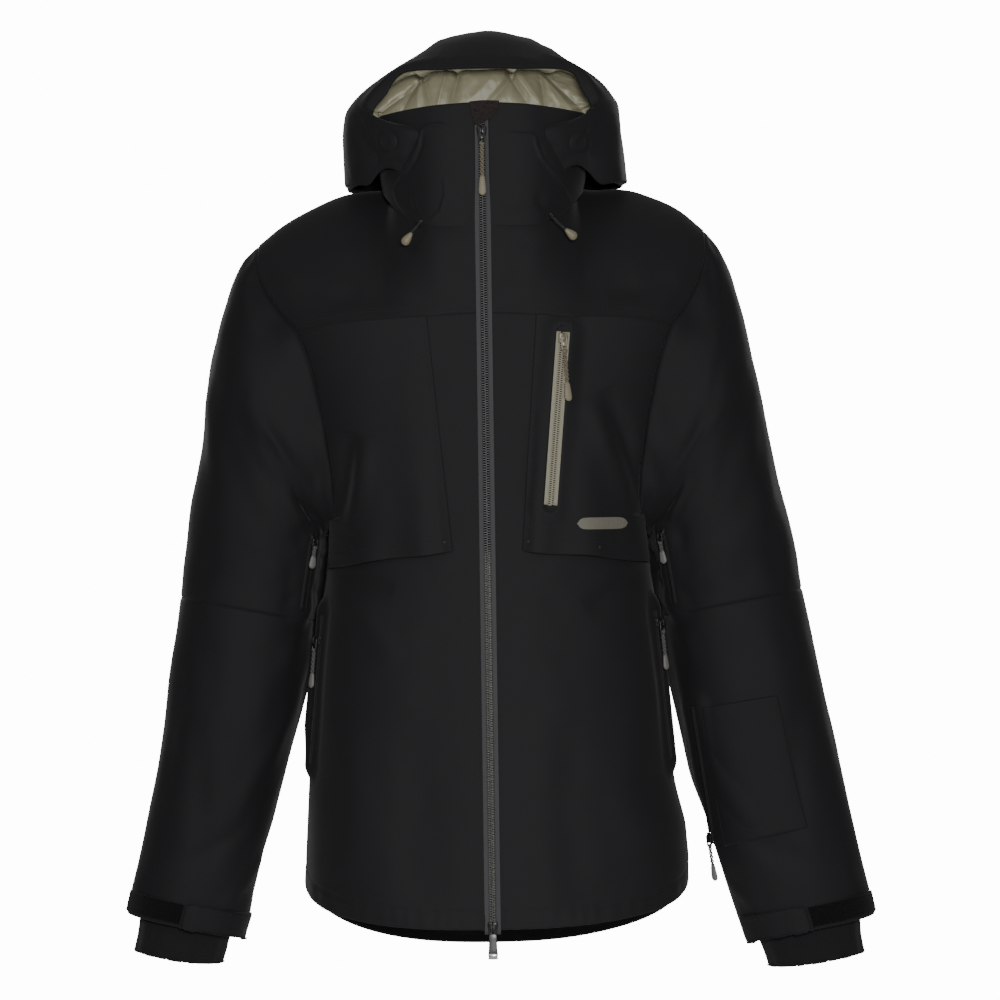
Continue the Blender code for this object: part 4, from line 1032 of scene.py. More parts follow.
def back_panel():
    s, t = np.linspace(0, 1, 260), np.linspace(0, 1, 120)
    low = hem_back(mix(90, 270, s))
    z = mix(low[None, :], YOKE_BACK + 2.4 * MM, t[:, None])   # a little under the yoke
    start = np.where(z > ARMPIT, 180 - angle_at(reading(ARMHOLE, z, 2), z), 90.0)
    P = resampled(torso(mix(start, 360 - start, s[None, :]), z), ticks(90, 0.52), ticks(120, 0.65))
    shift = 2.6 * MM * hashed(P[..., 0], P[..., 2] * 0.4, 0.09, 21.0)
    shift = shift + 1.2 * MM * hashed(P[..., 0], P[..., 2], 0.04, 2.0)
    shift += 2.0 * MM * np.sin(P[..., 0] * 34) * step(-0.45, -0.75, P[..., 2])
    P = P + normals(P) * (shift * edge_fade(P, 0.03, "lrbt"))[..., None]
    P = rolled(P, 1.5 * MM, left=True, right=True, reach=3 * MM)
    P = rolled(P, 2.6 * MM, high=True, reach=4 * MM)
    up = np.concatenate([np.zeros((1, P.shape[1])),
                         np.cumsum(np.linalg.norm(np.diff(P, axis=0), axis=2), 0)], 0)
    P = P + normals(P) * (-0.7 * MM * bell((up - 0.0185) / (1.4 * MM)))[..., None]
    cloth("back", P, PANEL, "shell", "body_shell", "body", ["back_panel"])
    row = np.interp(0.0185, up[:, up.shape[1] // 2], np.arange(len(P)))
    seam_line("back_hem_stitch", P, [(row, c) for c in np.linspace(2, P.shape[1] - 3, 600)], pitch=3.6 * MM)
    # facing of the back hem and of the back's inside, seen below the front hem
    inner = P - normals(P) * 3.1 * MM
    rows = int(np.interp(0.055, up[:, up.shape[1] // 2], np.arange(len(P))))
    facing = inner[1:rows, 2:-2][:, ::-1]
    cloth("back_facing", facing, 0.5 * MM, "facing", "lining", "body")


RIDGE = [(0.099, -0.064, 0.0025), (0.150, -0.069, -0.0150), (0.200, -0.073, -0.0365), tuple(TIP)]
NECK_FRONT = [(ZIP_EDGE, -0.1815, -0.0390), (0.062, -0.1670, -0.0355), (0.092, -0.1200, -0.0135), RIDGE[0]]
NECK_BACK = [RIDGE[0], (0.092, -0.024, -0.0050), (0.050, 0.006, -0.0120), (0.0, 0.013, -0.0140)]


def yokes():
    neck, ridge, back_neck = curve(NECK_FRONT), curve(RIDGE), curve(NECK_BACK)

    def bottom(s):
        x = mix(ZIP_EDGE, 0.198, s)
        z = yoke_seam(x)
        return torso(angle_at(x, z), z)

    def left(t):
        z = mix(yoke_seam(0.0), -0.0390, t)
        return np.stack([np.full(len(z), ZIP_EDGE), front_y(z), z], -1)

    def right(t):
        return armhole(mix(float(yoke_seam(0.2)), TIP[2], t))

    def top(s):
        return np.where((s < 0.5)[:, None], neck(np.minimum(2 * s, 1)), ridge(np.maximum(2 * s - 1, 0)))
    s, t = np.linspace(0, 1, 120), np.linspace(0, 1, 90)
    rest = coons(bottom, top, left, right, s, t)
    S, T = np.meshgrid(s, t)
    rest = rest + (0.010 * np.sin(np.pi * T) * np.sin(np.pi * S))[..., None] * np.array([0, -0.8, 0.6])
    rest = resampled(rest, ticks(84, 0.25), ticks(60, 0.12))
    for side, name in ((1, "left"), (-1, "right")):
        P = rest if side > 0 else mirror(rest)
        x, z = P[..., 0], P[..., 2]
        shift = 1.3 * MM * hashed(x, z, 0.06, 4.0) + 0.6 * MM * hashed(x, z, 0.026, 8.0)
        shift += crease(x, z, [(side * 0.20, -0.105), (side * 0.165, -0.120), (side * 0.13, -0.118)],
                        -1.8 * MM, 0.010)
        P = P + normals(P) * (shift * edge_fade(P, 0.025))[..., None]
        zip_side, seam_side = ("left", "right") if side > 0 else ("right", "left")
        P = rolled(P, 1.4 * MM, low=True, high=True, reach=3 * MM, **{seam_side: True})
        P = rolled(P, 0.9 * MM, reach=2.5 * MM, **{zip_side: True})
        cloth("yoke_" + name, P, PANEL, "shell", "body_shell", "body", ["front_yoke_" + name])
        across = (4, P.shape[1] - 5)
        seam_line("yoke_stitch_" + name, P, [(6.5, c) for c in np.linspace(*across, 500)], pitch=3.4 * MM)

    def back_bottom(s):
        start = 180 - angle_at(0.213, YOKE_BACK)
        return torso(mix(start, 360 - start, s), YOKE_BACK)

    def side_edge(t):
        return armhole(mix(YOKE_BACK, TIP[2], t), True)

    def other(t):
        return side_edge(t) * np.array([-1, 1, 1])

    def back_top(s):
        half = np.where(s < 0.5, 2 * s, 2 - 2 * s)
        point = np.where((half < 0.5)[:, None], ridge(np.clip(1 - 2 * half, 0, 1)),
                         back_neck(np.clip(2 * half - 1, 0, 1)))
        point[:, 0] = np.where(s < 0.5, point[:, 0], -point[:, 0])
        return point
    s, t = np.linspace(0, 1, 201), np.linspace(0, 1, 70)
    P = coons(back_bottom, back_top, side_edge, other, s, t)
    S, T = np.meshgrid(s, t)
    P = P + (0.012 * np.sin(np.pi * T) * np.sin(np.pi * S))[..., None] * np.array([0, 0.7, 0.7])
    P = resampled(P, ticks(110, 0.5), ticks(50, 0.13))
    shift = 1.6 * MM * hashed(P[..., 0], P[..., 2], 0.07, 14.0)
    P = P + normals(P) * (shift * edge_fade(P, 0.03))[..., None]
    P = rolled(P, 1.4 * MM, left=True, right=True, low=True, high=True, reach=3 * MM)
    cloth("yoke_back", P, PANEL, "shell", "body_shell", "body", ["back_yoke"])


def body_lining():
    """Lining inside the body; it sags a little below the front hem in places."""
    columns, rows = 150, 60
    angle = np.linspace(0, 360, columns, endpoint=False)
    front = np.cos(np.radians(angle)) > 0.05
    turned = np.where(angle > 180, 360 - angle, angle)
    low = np.where(front, np.maximum(-0.768, hem_front(np.minimum(turned, 90)) + 0.013),
                   hem_back(np.clip(turned, 90, 180)) + 0.016)
    x0 = torso(angle, -0.77)[:, 0]
    sag = 0.0135 * (bell((x0 + 0.042) / 0.026) + bell((x0 - 0.046) / 0.027)) * front
    z = mix(low[None, :], -0.385, np.linspace(0, 1, rows)[:, None])
    P = torso(angle[None, :], z, inset=5.2 * MM)
    P[..., 2] -= sag[None, :] * step(-0.68, -0.768, z)

    def bulge(a, h):
        turn = math.radians(a)
        return noise.noise(Vector((math.cos(turn) * 4, math.sin(turn) * 4, h * 11)))
    wave = 1.5 * MM * np.array([[bulge(a, h) for a in angle] for h in z[:, 0]])
    P = P - normals(P, True) * np.abs(wave)[..., None]
    cloth("lining_body", P, 0.8 * MM, "lining", "lining", "body", ["body_lining"], closed=True)


COLLAR_LOW = [(ZIP_EDGE, -0.1838, -0.0425), (0.064, -0.1712, -0.0400), (0.102, -0.118, -0.0135),
              (0.1035, -0.050, -0.0045), (0.069, -0.0045, -0.0115), (0.0, 0.0080, -0.0180)]
COLLAR_HIGH = [(ZIP_EDGE, -0.1755, 0.0895), (0.060, -0.1665, 0.0860), (0.108, -0.1330, 0.0780),
               (0.112, -0.060, 0.0680), (0.074, -0.003, 0.0560), (0.0, 0.0120, 0.0500)]

# Raised seams of the collar and lower hood, seen from the front: (x, z) paths, height, width
COLLAR_MARKS = {
    "right": [
        (((-0.034, 0.0615), (-0.041, 0.0660), (-0.052, 0.0662), (-0.0625, 0.0620), (-0.0650, 0.0550)),
         1.5 * MM, 0.0017),
        (((-0.0640, 0.0600), (-0.0665, 0.0440), (-0.0730, 0.0300), (-0.0830, 0.0160), (-0.0945, 0.0005)),
         1.9 * MM, 0.0018),
        (((-0.0610, 0.0560), (-0.0635, 0.0440), (-0.0700, 0.0290), (-0.0800, 0.0150)), -1.2 * MM, 0.0022),
        (((-0.0945, 0.0005), (-0.0900, -0.0130), (-0.0800, -0.0260), (-0.0680, -0.0360)), 1.5 * MM, 0.0018),
        (((-0.0400, 0.0105), (-0.0390, -0.0080), (-0.0440, -0.0250), (-0.0570, -0.0370)), 1.1 * MM, 0.0018),
        (((-0.0860, -0.0020), (-0.0780, -0.0140), (-0.0700, -0.0290)), -1.5 * MM, 0.0040),
        (((-0.0760, -0.0080), (-0.0720, -0.0180), (-0.0670, -0.0300)), 1.0 * MM, 0.0030),
    ],
    "left": [
        (((0.0270, 0.0560), (0.0400, 0.0548), (0.0530, 0.0545), (0.0570, 0.0500)), 1.1 * MM, 0.0016),
        (((0.0560, 0.0525), (0.0570, 0.0440), (0.0620, 0.0310), (0.0720, 0.0180), (0.0830, 0.0020),
          (0.0935, -0.0150)),
         1.9 * MM, 0.0018),
        (((0.0600, 0.0480), (0.0650, 0.0310), (0.0750, 0.0180), (0.0860, 0.0020)), -1.2 * MM, 0.0022),
        (((0.1130, -0.0020), (0.1090, -0.0150), (0.0960, -0.0255), (0.0710, -0.0340)), 1.3 * MM, 0.0018),
        (((0.0620, -0.0040), (0.0600, -0.0150), (0.0660, -0.0240), (0.0800, -0.0262), (0.0935, -0.0170)),
         -1.7 * MM, 0.0050),
        (((0.0250, -0.0240), (0.0450, -0.0200), (0.0640, -0.0180)), -0.9 * MM, 0.0040),
    ],
}


def collar_rest():
    low, high = curve(COLLAR_LOW), curve(COLLAR_HIGH)
    s, t = np.linspace(0, 1, 260), np.linspace(0, 1, 90)
    P = coons(low, high, lambda t: mix(low(np.zeros(1)), high(np.zeros(1)), t[:, None]),
              lambda t: mix(low(np.ones(1)), high(np.ones(1)), t[:, None]), s, t)
    return P


def collars():
    rest = collar_rest()
    fine = np.unique(np.concatenate([np.linspace(0, 0.52, 150), np.linspace(0.52, 1, 50)]))
    for side, name in ((1, "left"), (-1, "right")):
        P = resampled(rest, fine, ticks(110, 0.13))
        P = P if side > 0 else mirror(P)
        x, z = P[..., 0], P[..., 2]
        shift = 0.8 * MM * hashed(x, z, 0.045, 5.0)
        shift += 2.2 * MM * bell((np.abs(x) - 0.045) / 0.030) * bell((z - 0.03) / 0.05)
        for path, height, width in COLLAR_MARKS[name]:
            shift = shift + crease(x, z, path, height, width)
        shift = shift * edge_fade(P, 0.008, "lr") * (P[..., 1] < -0.08)
        P = P + normals(P) * shift[..., None]
        zip_side = "left" if side > 0 else "right"
        P = rolled(P, 1.2 * MM, low=True, reach=2.4 * MM)
        P = rolled(P, 0.9 * MM, reach=2.5 * MM, high=True, **{zip_side: True})
        cloth("neck_" + name, P, 2.4 * MM, "shell", "body_shell", "body", ["collar_" + name])


CHEST = {"left": (0.054, 0.0357, -0.3850, -0.3975), "right": (0.0600, 0.0357, -0.3840, -0.4000)}
CHEST_ZIP = ((0.0830, -0.155), (0.0670, -0.337))
CHEST_LIFT = 7.5 * MM


CHEST_GRID = {}


def near_chest_zip(x, z, reach):
    (tx, tz), (bx, bz) = CHEST_ZIP
    d = np.array([bx - tx, bz - tz])
    t = np.clip(((x - tx) * d[0] + (z - tz) * d[1]) / (d @ d), 0.0, 1.0)
    away = np.hypot(x - tx - t * d[0], z - tz - t * d[1])
    return 1 - step(0.006, reach, away)


def chest_panels():
    """Raised panels sewn along their top and inner edges, and loose along the bottom."""
    for side, name in ((1, "left"), (-1, "right")):
        inner_top, inner_low, low_in, low_out = CHEST[name]
        s, t = np.linspace(0, 1, 160), np.linspace(0, 1, 160)
        S, T = np.meshgrid(s, t)
        bottom = mix(low_in, low_out, S) - 1.0 * MM * np.sin(S * 9.0)
        z = mix(bottom, yoke_seam(0.198 * S) - 1.6 * MM, T)
        outer = np.where(z > -0.350, reading(ARMHOLE, z, 1) - 1.5 * MM, 0.1655)
        x = mix(mix(inner_low, inner_top, T), outer, S)
        loose = (1 - T) ** 1.6
        lift = mix(1.3, 2.4, np.sin(np.pi * np.clip(S, 0, 1)) ** 0.5) * MM
        lift = lift + 4.4 * MM * loose * step(0.0, 0.10, S)
        lift += 1.7 * MM * loose * np.sin(S * 13 + side) * step(0.05, 0.25, S)
        P = torso(angle_at(x, z), z, inset=-lift)
        P = resampled(P, ticks(100, 0.13), ticks(170, 0.25))
        if side < 0:
            P = mirror(P)
        x, z = P[..., 0], P[..., 2]
        under = front_folds(x, z) * step(0.034, 0.062, np.abs(x)) * step(-0.140, -0.185, z) * 1.0
        under = under * (1 - step(0.150, 0.185, np.abs(x)) * 0.5)
        if side > 0:
            at_zip = near_chest_zip(x, z, 0.026)
            rest = body_at(np.abs(x), z, CHEST_LIFT - 0.6 * MM)
            level = P + normals(P) * under[..., None]
            level[..., 1] = mix(level[..., 1], rest[..., 1], at_zip)
            P = level
            core = near_chest_zip(x, z, 0.0084)
            P = P + normals(P) * ((0.4 * MM * (at_zip - core) * at_zip) - 1.1 * MM * core)[..., None]
        else:
            P = P + normals(P) * under[..., None]
        P = rolled(P, 1.1 * MM, low=True, left=True, right=True, high=True, reach=2.2 * MM)
        CHEST_GRID[name] = P
        cloth("chest_" + name, P, PLY, "shell", "body_shell", "body", ["chest_panel_" + name])
        inner = 5.5 if side > 0 else P.shape[1] - 6.5
        far = P.shape[1]
        rows = np.linspace(9, len(P) - 6, 600)
        seam_line("chest_stitch_" + name, P, [(r, inner) for r in rows], pitch=3.2 * MM)
        seam_line("chest_hem_stitch_" + name, P, [(10.5, c) for c in np.linspace(6, far - 7, 400)],
                  pitch=3.2 * MM)
        seam_line("chest_top_stitch_" + name, P, [(len(P) - 5.5, c) for c in np.linspace(6, far - 7, 400)],
                  pitch=3.2 * MM)
        # bartacks at the loose corners and, on one side, part of the way along
        spots = [(7, 7.5 if side > 0 else far - 8.5)]
        if side > 0:
            spots.append((6, far * 0.50))
        N = normals(P)
        bars = []
        for r, c in spots:
            at = np.array([P[int(r) + k, int(c)] for k in range(0, 4)])
            out = np.array([N[int(r) + k, int(c)] for k in range(0, 4)])
            across = np.cross(out[0], at[-1] - at[0])
            across /= np.linalg.norm(across)
            for k in np.linspace(-1, 1, 9):
                line = at + out * 0.5 * MM + across * k * 0.9 * MM
                bars.append(tube("", line, 0.22 * MM, 5, up=tuple(out[0])))
        trim("chest_bartacks_" + name, bars, "thread", "body")


def sleeves():
    for side, name in ((1, "left"), (-1, "right")):
        for part, k_low, k_high, node in (("upper", ELBOW, 0, "upper_sleeve_"),
                                          ("lower", CUFF, ELBOW, "lower_sleeve_")):
            long = 0.38 if part == "upper" else 0.33
            k = mix(k_low, k_high, ticks(int(long / 0.0042), long))
            angles = np.linspace(360, 0, 150, endpoint=False)
            P = sleeve(k, angles)
            shift = sleeve_folds(k, angles, side)
            ends = step(0, 0.55, np.abs(k - k_high)) * step(0, 0.35, np.abs(k - k_low))
            P = P + normals(P, True) * (shift * ends[:, None])[..., None]
            if part == "upper":
                # gathers over the cap, where the sleeve is eased into the armhole
                K, A = np.meshgrid(k, angles, indexing="ij")
                ease = 0.9 * MM * np.sin(A / 57.3 * 17) * bell((K - 0.32) / 0.22)
                P = P + normals(P, True) * ease[..., None]
            if side < 0:
                P = mirror(P)
                P = np.roll(P, 1, axis=1)
            up = np.cumsum(np.concatenate([[0], np.linalg.norm(np.diff(P, axis=0), axis=2).mean(axis=1)]))
            low, high = up, up[-1] - up
            if part == "lower":
                fold = 0.8 * MM * bell((low - 0.018) / (1.3 * MM)) + 1.0 * MM * (1 - step(0, 2.5 * MM, low))
                fold += 1.0 * MM * (1 - step(0, 3 * MM, high))
            else:
                fold = 1.0 * MM * (1 - step(0, 3 * MM, low)) + 1.6 * MM * (1 - step(0, 3.4 * MM, high))
            P = P - normals(P, True) * fold[:, None, None]
            if part == "upper":
                start, end = (side * 0.205, -0.095, -0.225), (side * 0.262, -0.095, -0.262)
                link = ("body", "arm_" + name, start, end)
            else:
                start, end = (side * 0.260, -0.09, -0.456), (side * 0.278, -0.09, -0.539)
                link = ("arm_" + name, "forearm_" + name, start, end)
            cloth(part + "_arm_" + name, P, PANEL, "sleeve", "sleeve_shell", None, [node + name],
                  closed=True, blend=link)
            if part == "lower":
                row = float(np.interp(0.018, low, np.arange(len(P))))
                Q = np.concatenate([P, P[:, :1]], axis=1)
                seam_line("cuff_hem_stitch_" + name, Q,
                          [(row, c) for c in np.linspace(0, Q.shape[1] - 1.01, 300)],
                          body="forearm_" + name, slot="sleeve_shell", pitch=3.4 * MM)


def sleeve_patch(k0, k1, a0, a1, lift, rows, columns, side):
    """Open grid on a sleeve between two rings and two angles (a0 > a1), facing out."""
    P = sleeve(np.linspace(k0, k1, rows), np.linspace(a0, a1, columns), lift)
    return P if side > 0 else mirror(P)


def cuffs():
    span = float(np.linalg.norm(SLEEVE[-1, :2] - SLEEVE[-2, :2]))
    for side, name in ((1, "left"), (-1, "right")):
        body = "forearm_" + name
        P = sleeve_patch(CUFF - 0.003 / span, CUFF - 0.0245 / span, 87, 6, 1.6 * MM, 26, 80, side)
        P = rolled(P, 0.7 * MM, left=True, right=True, low=True, high=True, reach=1.6 * MM)
        x = np.arange(P.shape[1])[None, :] + np.arange(P.shape[0])[:, None] * 3.7
        P = P + normals(P) * (0.30 * MM * np.sin(x * 2.1) * np.sin(x * 0.77))[..., None]
        cloth("loop_patch_" + name, P, 1.4 * MM, "fuzz", "loop_fabric", body, ["cuff_loop_patch_" + name])
        # the tab: its free end is square with rounded corners, and its root is sewn to the sleeve
        K = np.linspace(CUFF + 0.0065 / span, CUFF - 0.0270 / span, 40)
        s = np.linspace(0, 1, 70)
        P = sleeve(K, mix(174.0, 88.5, s), 2.8 * MM)
        S, T = np.meshgrid(s, np.linspace(0, 1, len(K)))
        P = P + normals(P) * (1.4 * MM * bell((S - 0.93) / 0.10)
                              + 0.8 * MM * hashed(S * 0.06, T * 0.03, 0.02, 3 + side))[..., None]
        corner = step(0.86, 1.0, S) * np.abs(T - 0.5) * 2
        P[..., 2] += (T - 0.5) * -4.2 * MM * corner**3
        P = P if side > 0 else mirror(P)
        P = rolled(P, 1.0 * MM, left=True, right=True, low=True, high=True, reach=1.8 * MM)
        cloth("strap_" + name, P, 1.6 * MM, "sleeve", "sleeve_shell", "cuff_tab_" + name,
              ["cuff_tab_" + name])
        R, C = P.shape[:2]
        loop = ([(5, c) for c in np.linspace(4, C - 5, 200)] + [(r, C - 5) for r in np.linspace(5, R - 6, 60)]
                + [(R - 6, c) for c in np.linspace(C - 5, 4, 200)]
                + [(r, 4) for r in np.linspace(R - 6, 5, 60)])
        seam_line("strap_stitch_" + name, P, loop, body="cuff_tab_" + name, slot="sleeve_shell",
                  pitch=2.8 * MM, long=2.0 * MM)
        # stretch gaiter, gathered into the sleeve, with a soft pleat
        k = np.array([CUFF - 0.30, CUFF - 0.05, CUFF - 0.001])
        angles = np.linspace(360, 0, 160, endpoint=False)
        top = sleeve(k[:1], angles, -11 * MM)[0]
        middle = sleeve(k[1:2], angles, -14 * MM)[0]
        low = sleeve(k[2:3], angles, (-18.5 if side > 0 else -16.5) * MM)[0]
        fall = np.array([-(SLEEVE[-1][1] - SLEEVE[-1][3]), 0, SLEEVE[-1][0] - SLEEVE[-1][2]])
        fall = -fall / np.linalg.norm(fall)
        rings = [low + fall * 0.0375, low + fall * 0.0360, low + fall * 0.020,
                 mix(low, middle, 0.5) + fall * 0.006,
                 middle, top]
        P = spline(np.array(rings), np.linspace(0, 1, 46))
        depth = np.linspace(1, 0, 46)[:, None]
        A = angles[None, :]
        gather = 0.9 * MM * np.sin(A / 57.3 * 11 + 0.6) * depth + 1.6 * MM * bell((A - 118) / 7.0) * depth
        gather = gather - 1.5 * MM * bell((A - 106) / 6.0) * depth
        P = P + normals(P, True) * gather[..., None]
        if side < 0:
            P = np.roll(mirror(P), 1, axis=1)
        cloth("gaiter_" + name, P, PLY, "gaiter", "gaiter", body, ["wrist_gaiter_" + name], closed=True,
              held="gathered")
        Q = np.concatenate([P, P[:, :1]], axis=1)
        seam_line("gaiter_stitch_" + name, Q, [(6.5, c) for c in np.linspace(0, Q.shape[1] - 1.01, 300)],
                  body=body,
                  slot="gaiter", pitch=2.6 * MM, long=1.9 * MM)


def pass_panel():
    """Flat panel beside the pass pocket, sewn down on the wearer's left forearm."""
    s, k = np.linspace(0, 1, 70), np.linspace(7.17, 5.93, 90)
    inner = np.interp(k, [5.95, 6.55, 7.15], [127, 132, 140])
    P = np.stack([sleeve([kk], mix(a, 72.0, s), 1.5 * MM)[0] for kk, a in zip(k, inner)])
    P = P + normals(P) * (0.6 * MM * hashed(P[..., 0], P[..., 2], 0.03, 2.0) * edge_fade(P, 0.02))[..., None]
    P = rolled(P, 1.3 * MM, left=True, right=True, low=True, high=True, reach=2.4 * MM)
    cloth("pass_pocket_cover", P, 0.9 * MM, "sleeve", "sleeve_shell", "forearm_left", ["pass_pocket_panel"])


# ---- hood -------------------------------------------------------------------------------------
# Cage of the hood: each row runs from the wearer's right foot over the top to the left foot.
# The first row is the front edge, from the top of the collar's raised seam round the opening.
HOOD_RIGHT = [
    [(0.0840, -0.150, 0.0130), (0.0745, -0.161, 0.0380), (0.0690, -0.166, 0.0620), (0.1130, -0.1345, 0.0785),
     (0.1010, -0.1340, 0.1030), (0.0850, -0.1300, 0.1265), (0.0430, -0.1245, 0.1300)],
    [(0.0960, -0.149, 0.0215), (0.0900, -0.158, 0.0400), (0.0930, -0.1580, 0.0640), (0.1230, -0.1310, 0.0860),
     (0.1120, -0.1280, 0.1120), (0.0920, -0.1210, 0.1365), (0.0450, -0.1140, 0.1440)],
    [(0.1130, -0.139, 0.0190), (0.1180, -0.141, 0.0400), (0.1240, -0.1340, 0.0660), (0.1360, -0.1080, 0.0950),
     (0.1230, -0.1010, 0.1250), (0.0930, -0.0920, 0.1500), (0.0440, -0.0860, 0.1620)],
    [(0.1330, -0.120, 0.0030), (0.1420, -0.115, 0.0330), (0.1450, -0.1060, 0.0640), (0.1390, -0.0760, 0.0990),
     (0.1200, -0.0640, 0.1350), (0.0850, -0.0540, 0.1600), (0.0420, -0.0480, 0.1710)],
    [(0.1430, -0.088, -0.0060), (0.1490, -0.080, 0.0280), (0.1480, -0.0680, 0.0640),
     (0.1370, -0.0400, 0.1010),
     (0.1140, -0.0220, 0.1340), (0.0820, -0.0100, 0.1560), (0.0410, -0.0040, 0.1650)],
    [(0.1400, -0.050, -0.0060), (0.1460, -0.038, 0.0220), (0.1430, -0.0220, 0.0550), (0.1280, 0.0080, 0.0900),
     (0.1030, 0.0320, 0.1150), (0.0720, 0.0480, 0.1320), (0.0360, 0.0550, 0.1400)],
    [(0.1220, -0.014, -0.0040), (0.1260, 0.000, 0.0150), (0.1210, 0.0200, 0.0380), (0.1060, 0.0450, 0.0620),
     (0.0840, 0.0660, 0.0800), (0.0570, 0.0800, 0.0910), (0.0290, 0.0850, 0.0950)],
    [(0.0960, 0.010, -0.0020), (0.0980, 0.022, 0.0060), (0.0940, 0.0380, 0.0170), (0.0820, 0.0540, 0.0290),
     (0.0650, 0.0660, 0.0380), (0.0440, 0.0740, 0.0435), (0.0220, 0.0760, 0.0455)],
    [(0.0600, 0.019, 0.0000), (0.0600, 0.024, 0.0005), (0.0570, 0.0290, 0.0015), (0.0490, 0.0340, 0.0030),
     (0.0380, 0.0380, 0.0045), (0.0260, 0.0400, 0.0055), (0.0130, 0.0405, 0.0060)],
]
HOOD_TOP = [(-0.1235, 0.1310), (-0.1120, 0.1462), (-0.0840, 0.1655), (-0.0460, 0.1745), (-0.0020, 0.1670),
            (0.0570, 0.1425), (0.0860, 0.0960), (0.0765, 0.0460), (0.0405, 0.0060)]


def hood_cage():
    rows = []
    for half, (top_y, top_z) in zip(HOOD_RIGHT, HOOD_TOP):
        right = [(-x, y, z) for x, y, z in half]
        left = [(x, y, z) for x, y, z in reversed(half)]
        rows.append(right + [(0.002, top_y, top_z)] + left)
    return np.array(rows)


def hood_asymmetry(P):
    """The hood slumps unevenly: its left shoulder stands a little out, its brim leans to the left."""
    x, y, z = P[..., 0], P[..., 1], P[..., 2]
    out = P.copy()
    front = step(-0.02, -0.12, y)
    out[..., 0] += 0.0075 * step(0.06, 0.12, z) * step(0.02, 0.09, x) * front
    out[..., 2] += 0.0045 * bell((x - 0.106) / 0.017) * step(0.085, 0.12, z) * front
    out[..., 0] -= 0.0015 * step(-0.09, -0.13, x) * step(0.02, 0.1, z)
    return out


HOOD_MARKS = [
    # seam down the lower side, adjusters, and slumped folds: (x, z) path, height, width, side
    (((0.1130, 0.0640), (0.1120, 0.0560), (0.1050, 0.0480)), -0.9 * MM, 0.0020),
    (((-0.1370, 0.0780), (-0.1290, 0.0600), (-0.1200, 0.0460), (-0.1080, 0.0300)), -2.2 * MM, 0.0080),
    (((-0.1230, 0.0640), (-0.1160, 0.0500), (-0.1090, 0.0420)), 1.4 * MM, 0.0060),
    (((0.1390, 0.0700), (0.1300, 0.0500), (0.1180, 0.0330)), -1.8 * MM, 0.0080),
    (((-0.1420, 0.0230), (-0.1280, 0.0300), (-0.1120, 0.0330)), 1.8 * MM, 0.0070),
    (((0.1440, 0.0180), (0.1290, 0.0270), (0.1120, 0.0270)), 1.8 * MM, 0.0070),
]
ADJUSTERS = [(-0.1010, 0.0500), (0.1045, 0.0455)]


# Bodies and points of a link from the hood's foot on the body to the folding hood above; the pieces given it
# are baked in place, not linked
HOOD_LINK = ("body", "hood", (0.0, -0.03, 0.035), (0.0, -0.03, 0.125))
# Part of the hood's width that is lined
LINED = (0.205, 0.795)


def hood_rest(rows, columns):
    return hood_asymmetry(net(hood_cage(), rows, columns))


def hood():
    rows = np.unique(np.round(np.concatenate([ticks(130, 0.36), np.linspace(0, 0.30, 90)]), 6))
    columns = ticks(230, 0.62)
    P = hood_rest(rows, columns)
    x, y, z = P[..., 0], P[..., 1], P[..., 2]
    z -= 4.2 * MM * (1 - step(0.004, 0.030, z)) * step(0.10, 0.125, np.abs(x))
    front = step(-0.060, -0.105, y)
    shift = 1.6 * MM * hashed(x, z + y, 0.06, 6.0) + 0.8 * MM * hashed(x * 1.3, z - y, 0.028, 9.0)
    shift = shift * edge_fade(P, 0.012)
    for path, height, width in HOOD_MARKS:
        shift = shift + crease(x, z, path, height, width) * front
    for ax, az in ADJUSTERS:
        r = np.hypot(x - ax, z - az)
        shift = shift + (0.9 * MM * (1 - step(0.0085, 0.0115, r)) - 0.5 * MM * bell((r - 0.0115) / 0.0013)
                         + 0.6 * MM * bell((r - 0.0058) / 0.0012)) * front
    # centre panel seams over the crown
    for seam in (-0.062, 0.066):
        shift = shift - 0.4 * MM * bell((x - seam) / 0.0013) * step(0.10, 0.13, z)
    P = P + normals(P) * shift[..., None]
    P = rolled(P, 1.6 * MM, left=True, right=True, high=True, low=True, reach=3.2 * MM)
    cloth("hood_outer", P, 2.2 * MM, "shell", "body_shell", None, ["hood_shell", "hood_brim"],
          blend=HOOD_LINK)


def hood_lining():
    """Satin lining: it starts behind a narrow facing at the opening and slumps inside the hood."""
    columns = np.linspace(*LINED, 300)
    rows = np.linspace(0.040, 0.80, 190)
    P = hood_rest(rows, columns)
    outward = normals(P)
    heart = np.array([0.0, -0.03, 0.05])
    depth = step(0.0, 0.30, rows)[:, None]
    P = P - outward * mix(3.2 * MM, 9.0 * MM, depth)[..., None]
    toward = heart - P
    toward /= np.linalg.norm(toward, axis=2, keepdims=True)
    S, T = np.meshgrid(columns, rows)
    sag = 5.0 * MM * np.clip(hashed(S * 1.0, T * 0.35, 0.11, 4.4) + 0.35, 0, 2)
    sag = sag + 3.2 * MM * np.clip(hashed(S * 1.3, T * 0.5, 0.05, 1.7), -0.4, 1)
    sag = sag + 1.3 * MM * hashed(S * 2.0, T * 1.0, 0.03, 8.8)
    P = P + toward * (sag * depth)[..., None]
    slump = (0.72 * step(0.04, 0.40, rows))[:, None] * np.ones(len(columns))
    P[..., 1] = mix(P[..., 1], -0.112, slump)
    P[..., 2] -= 7.5 * MM * step(0.124, 0.148, P[..., 2])
    return P, rows


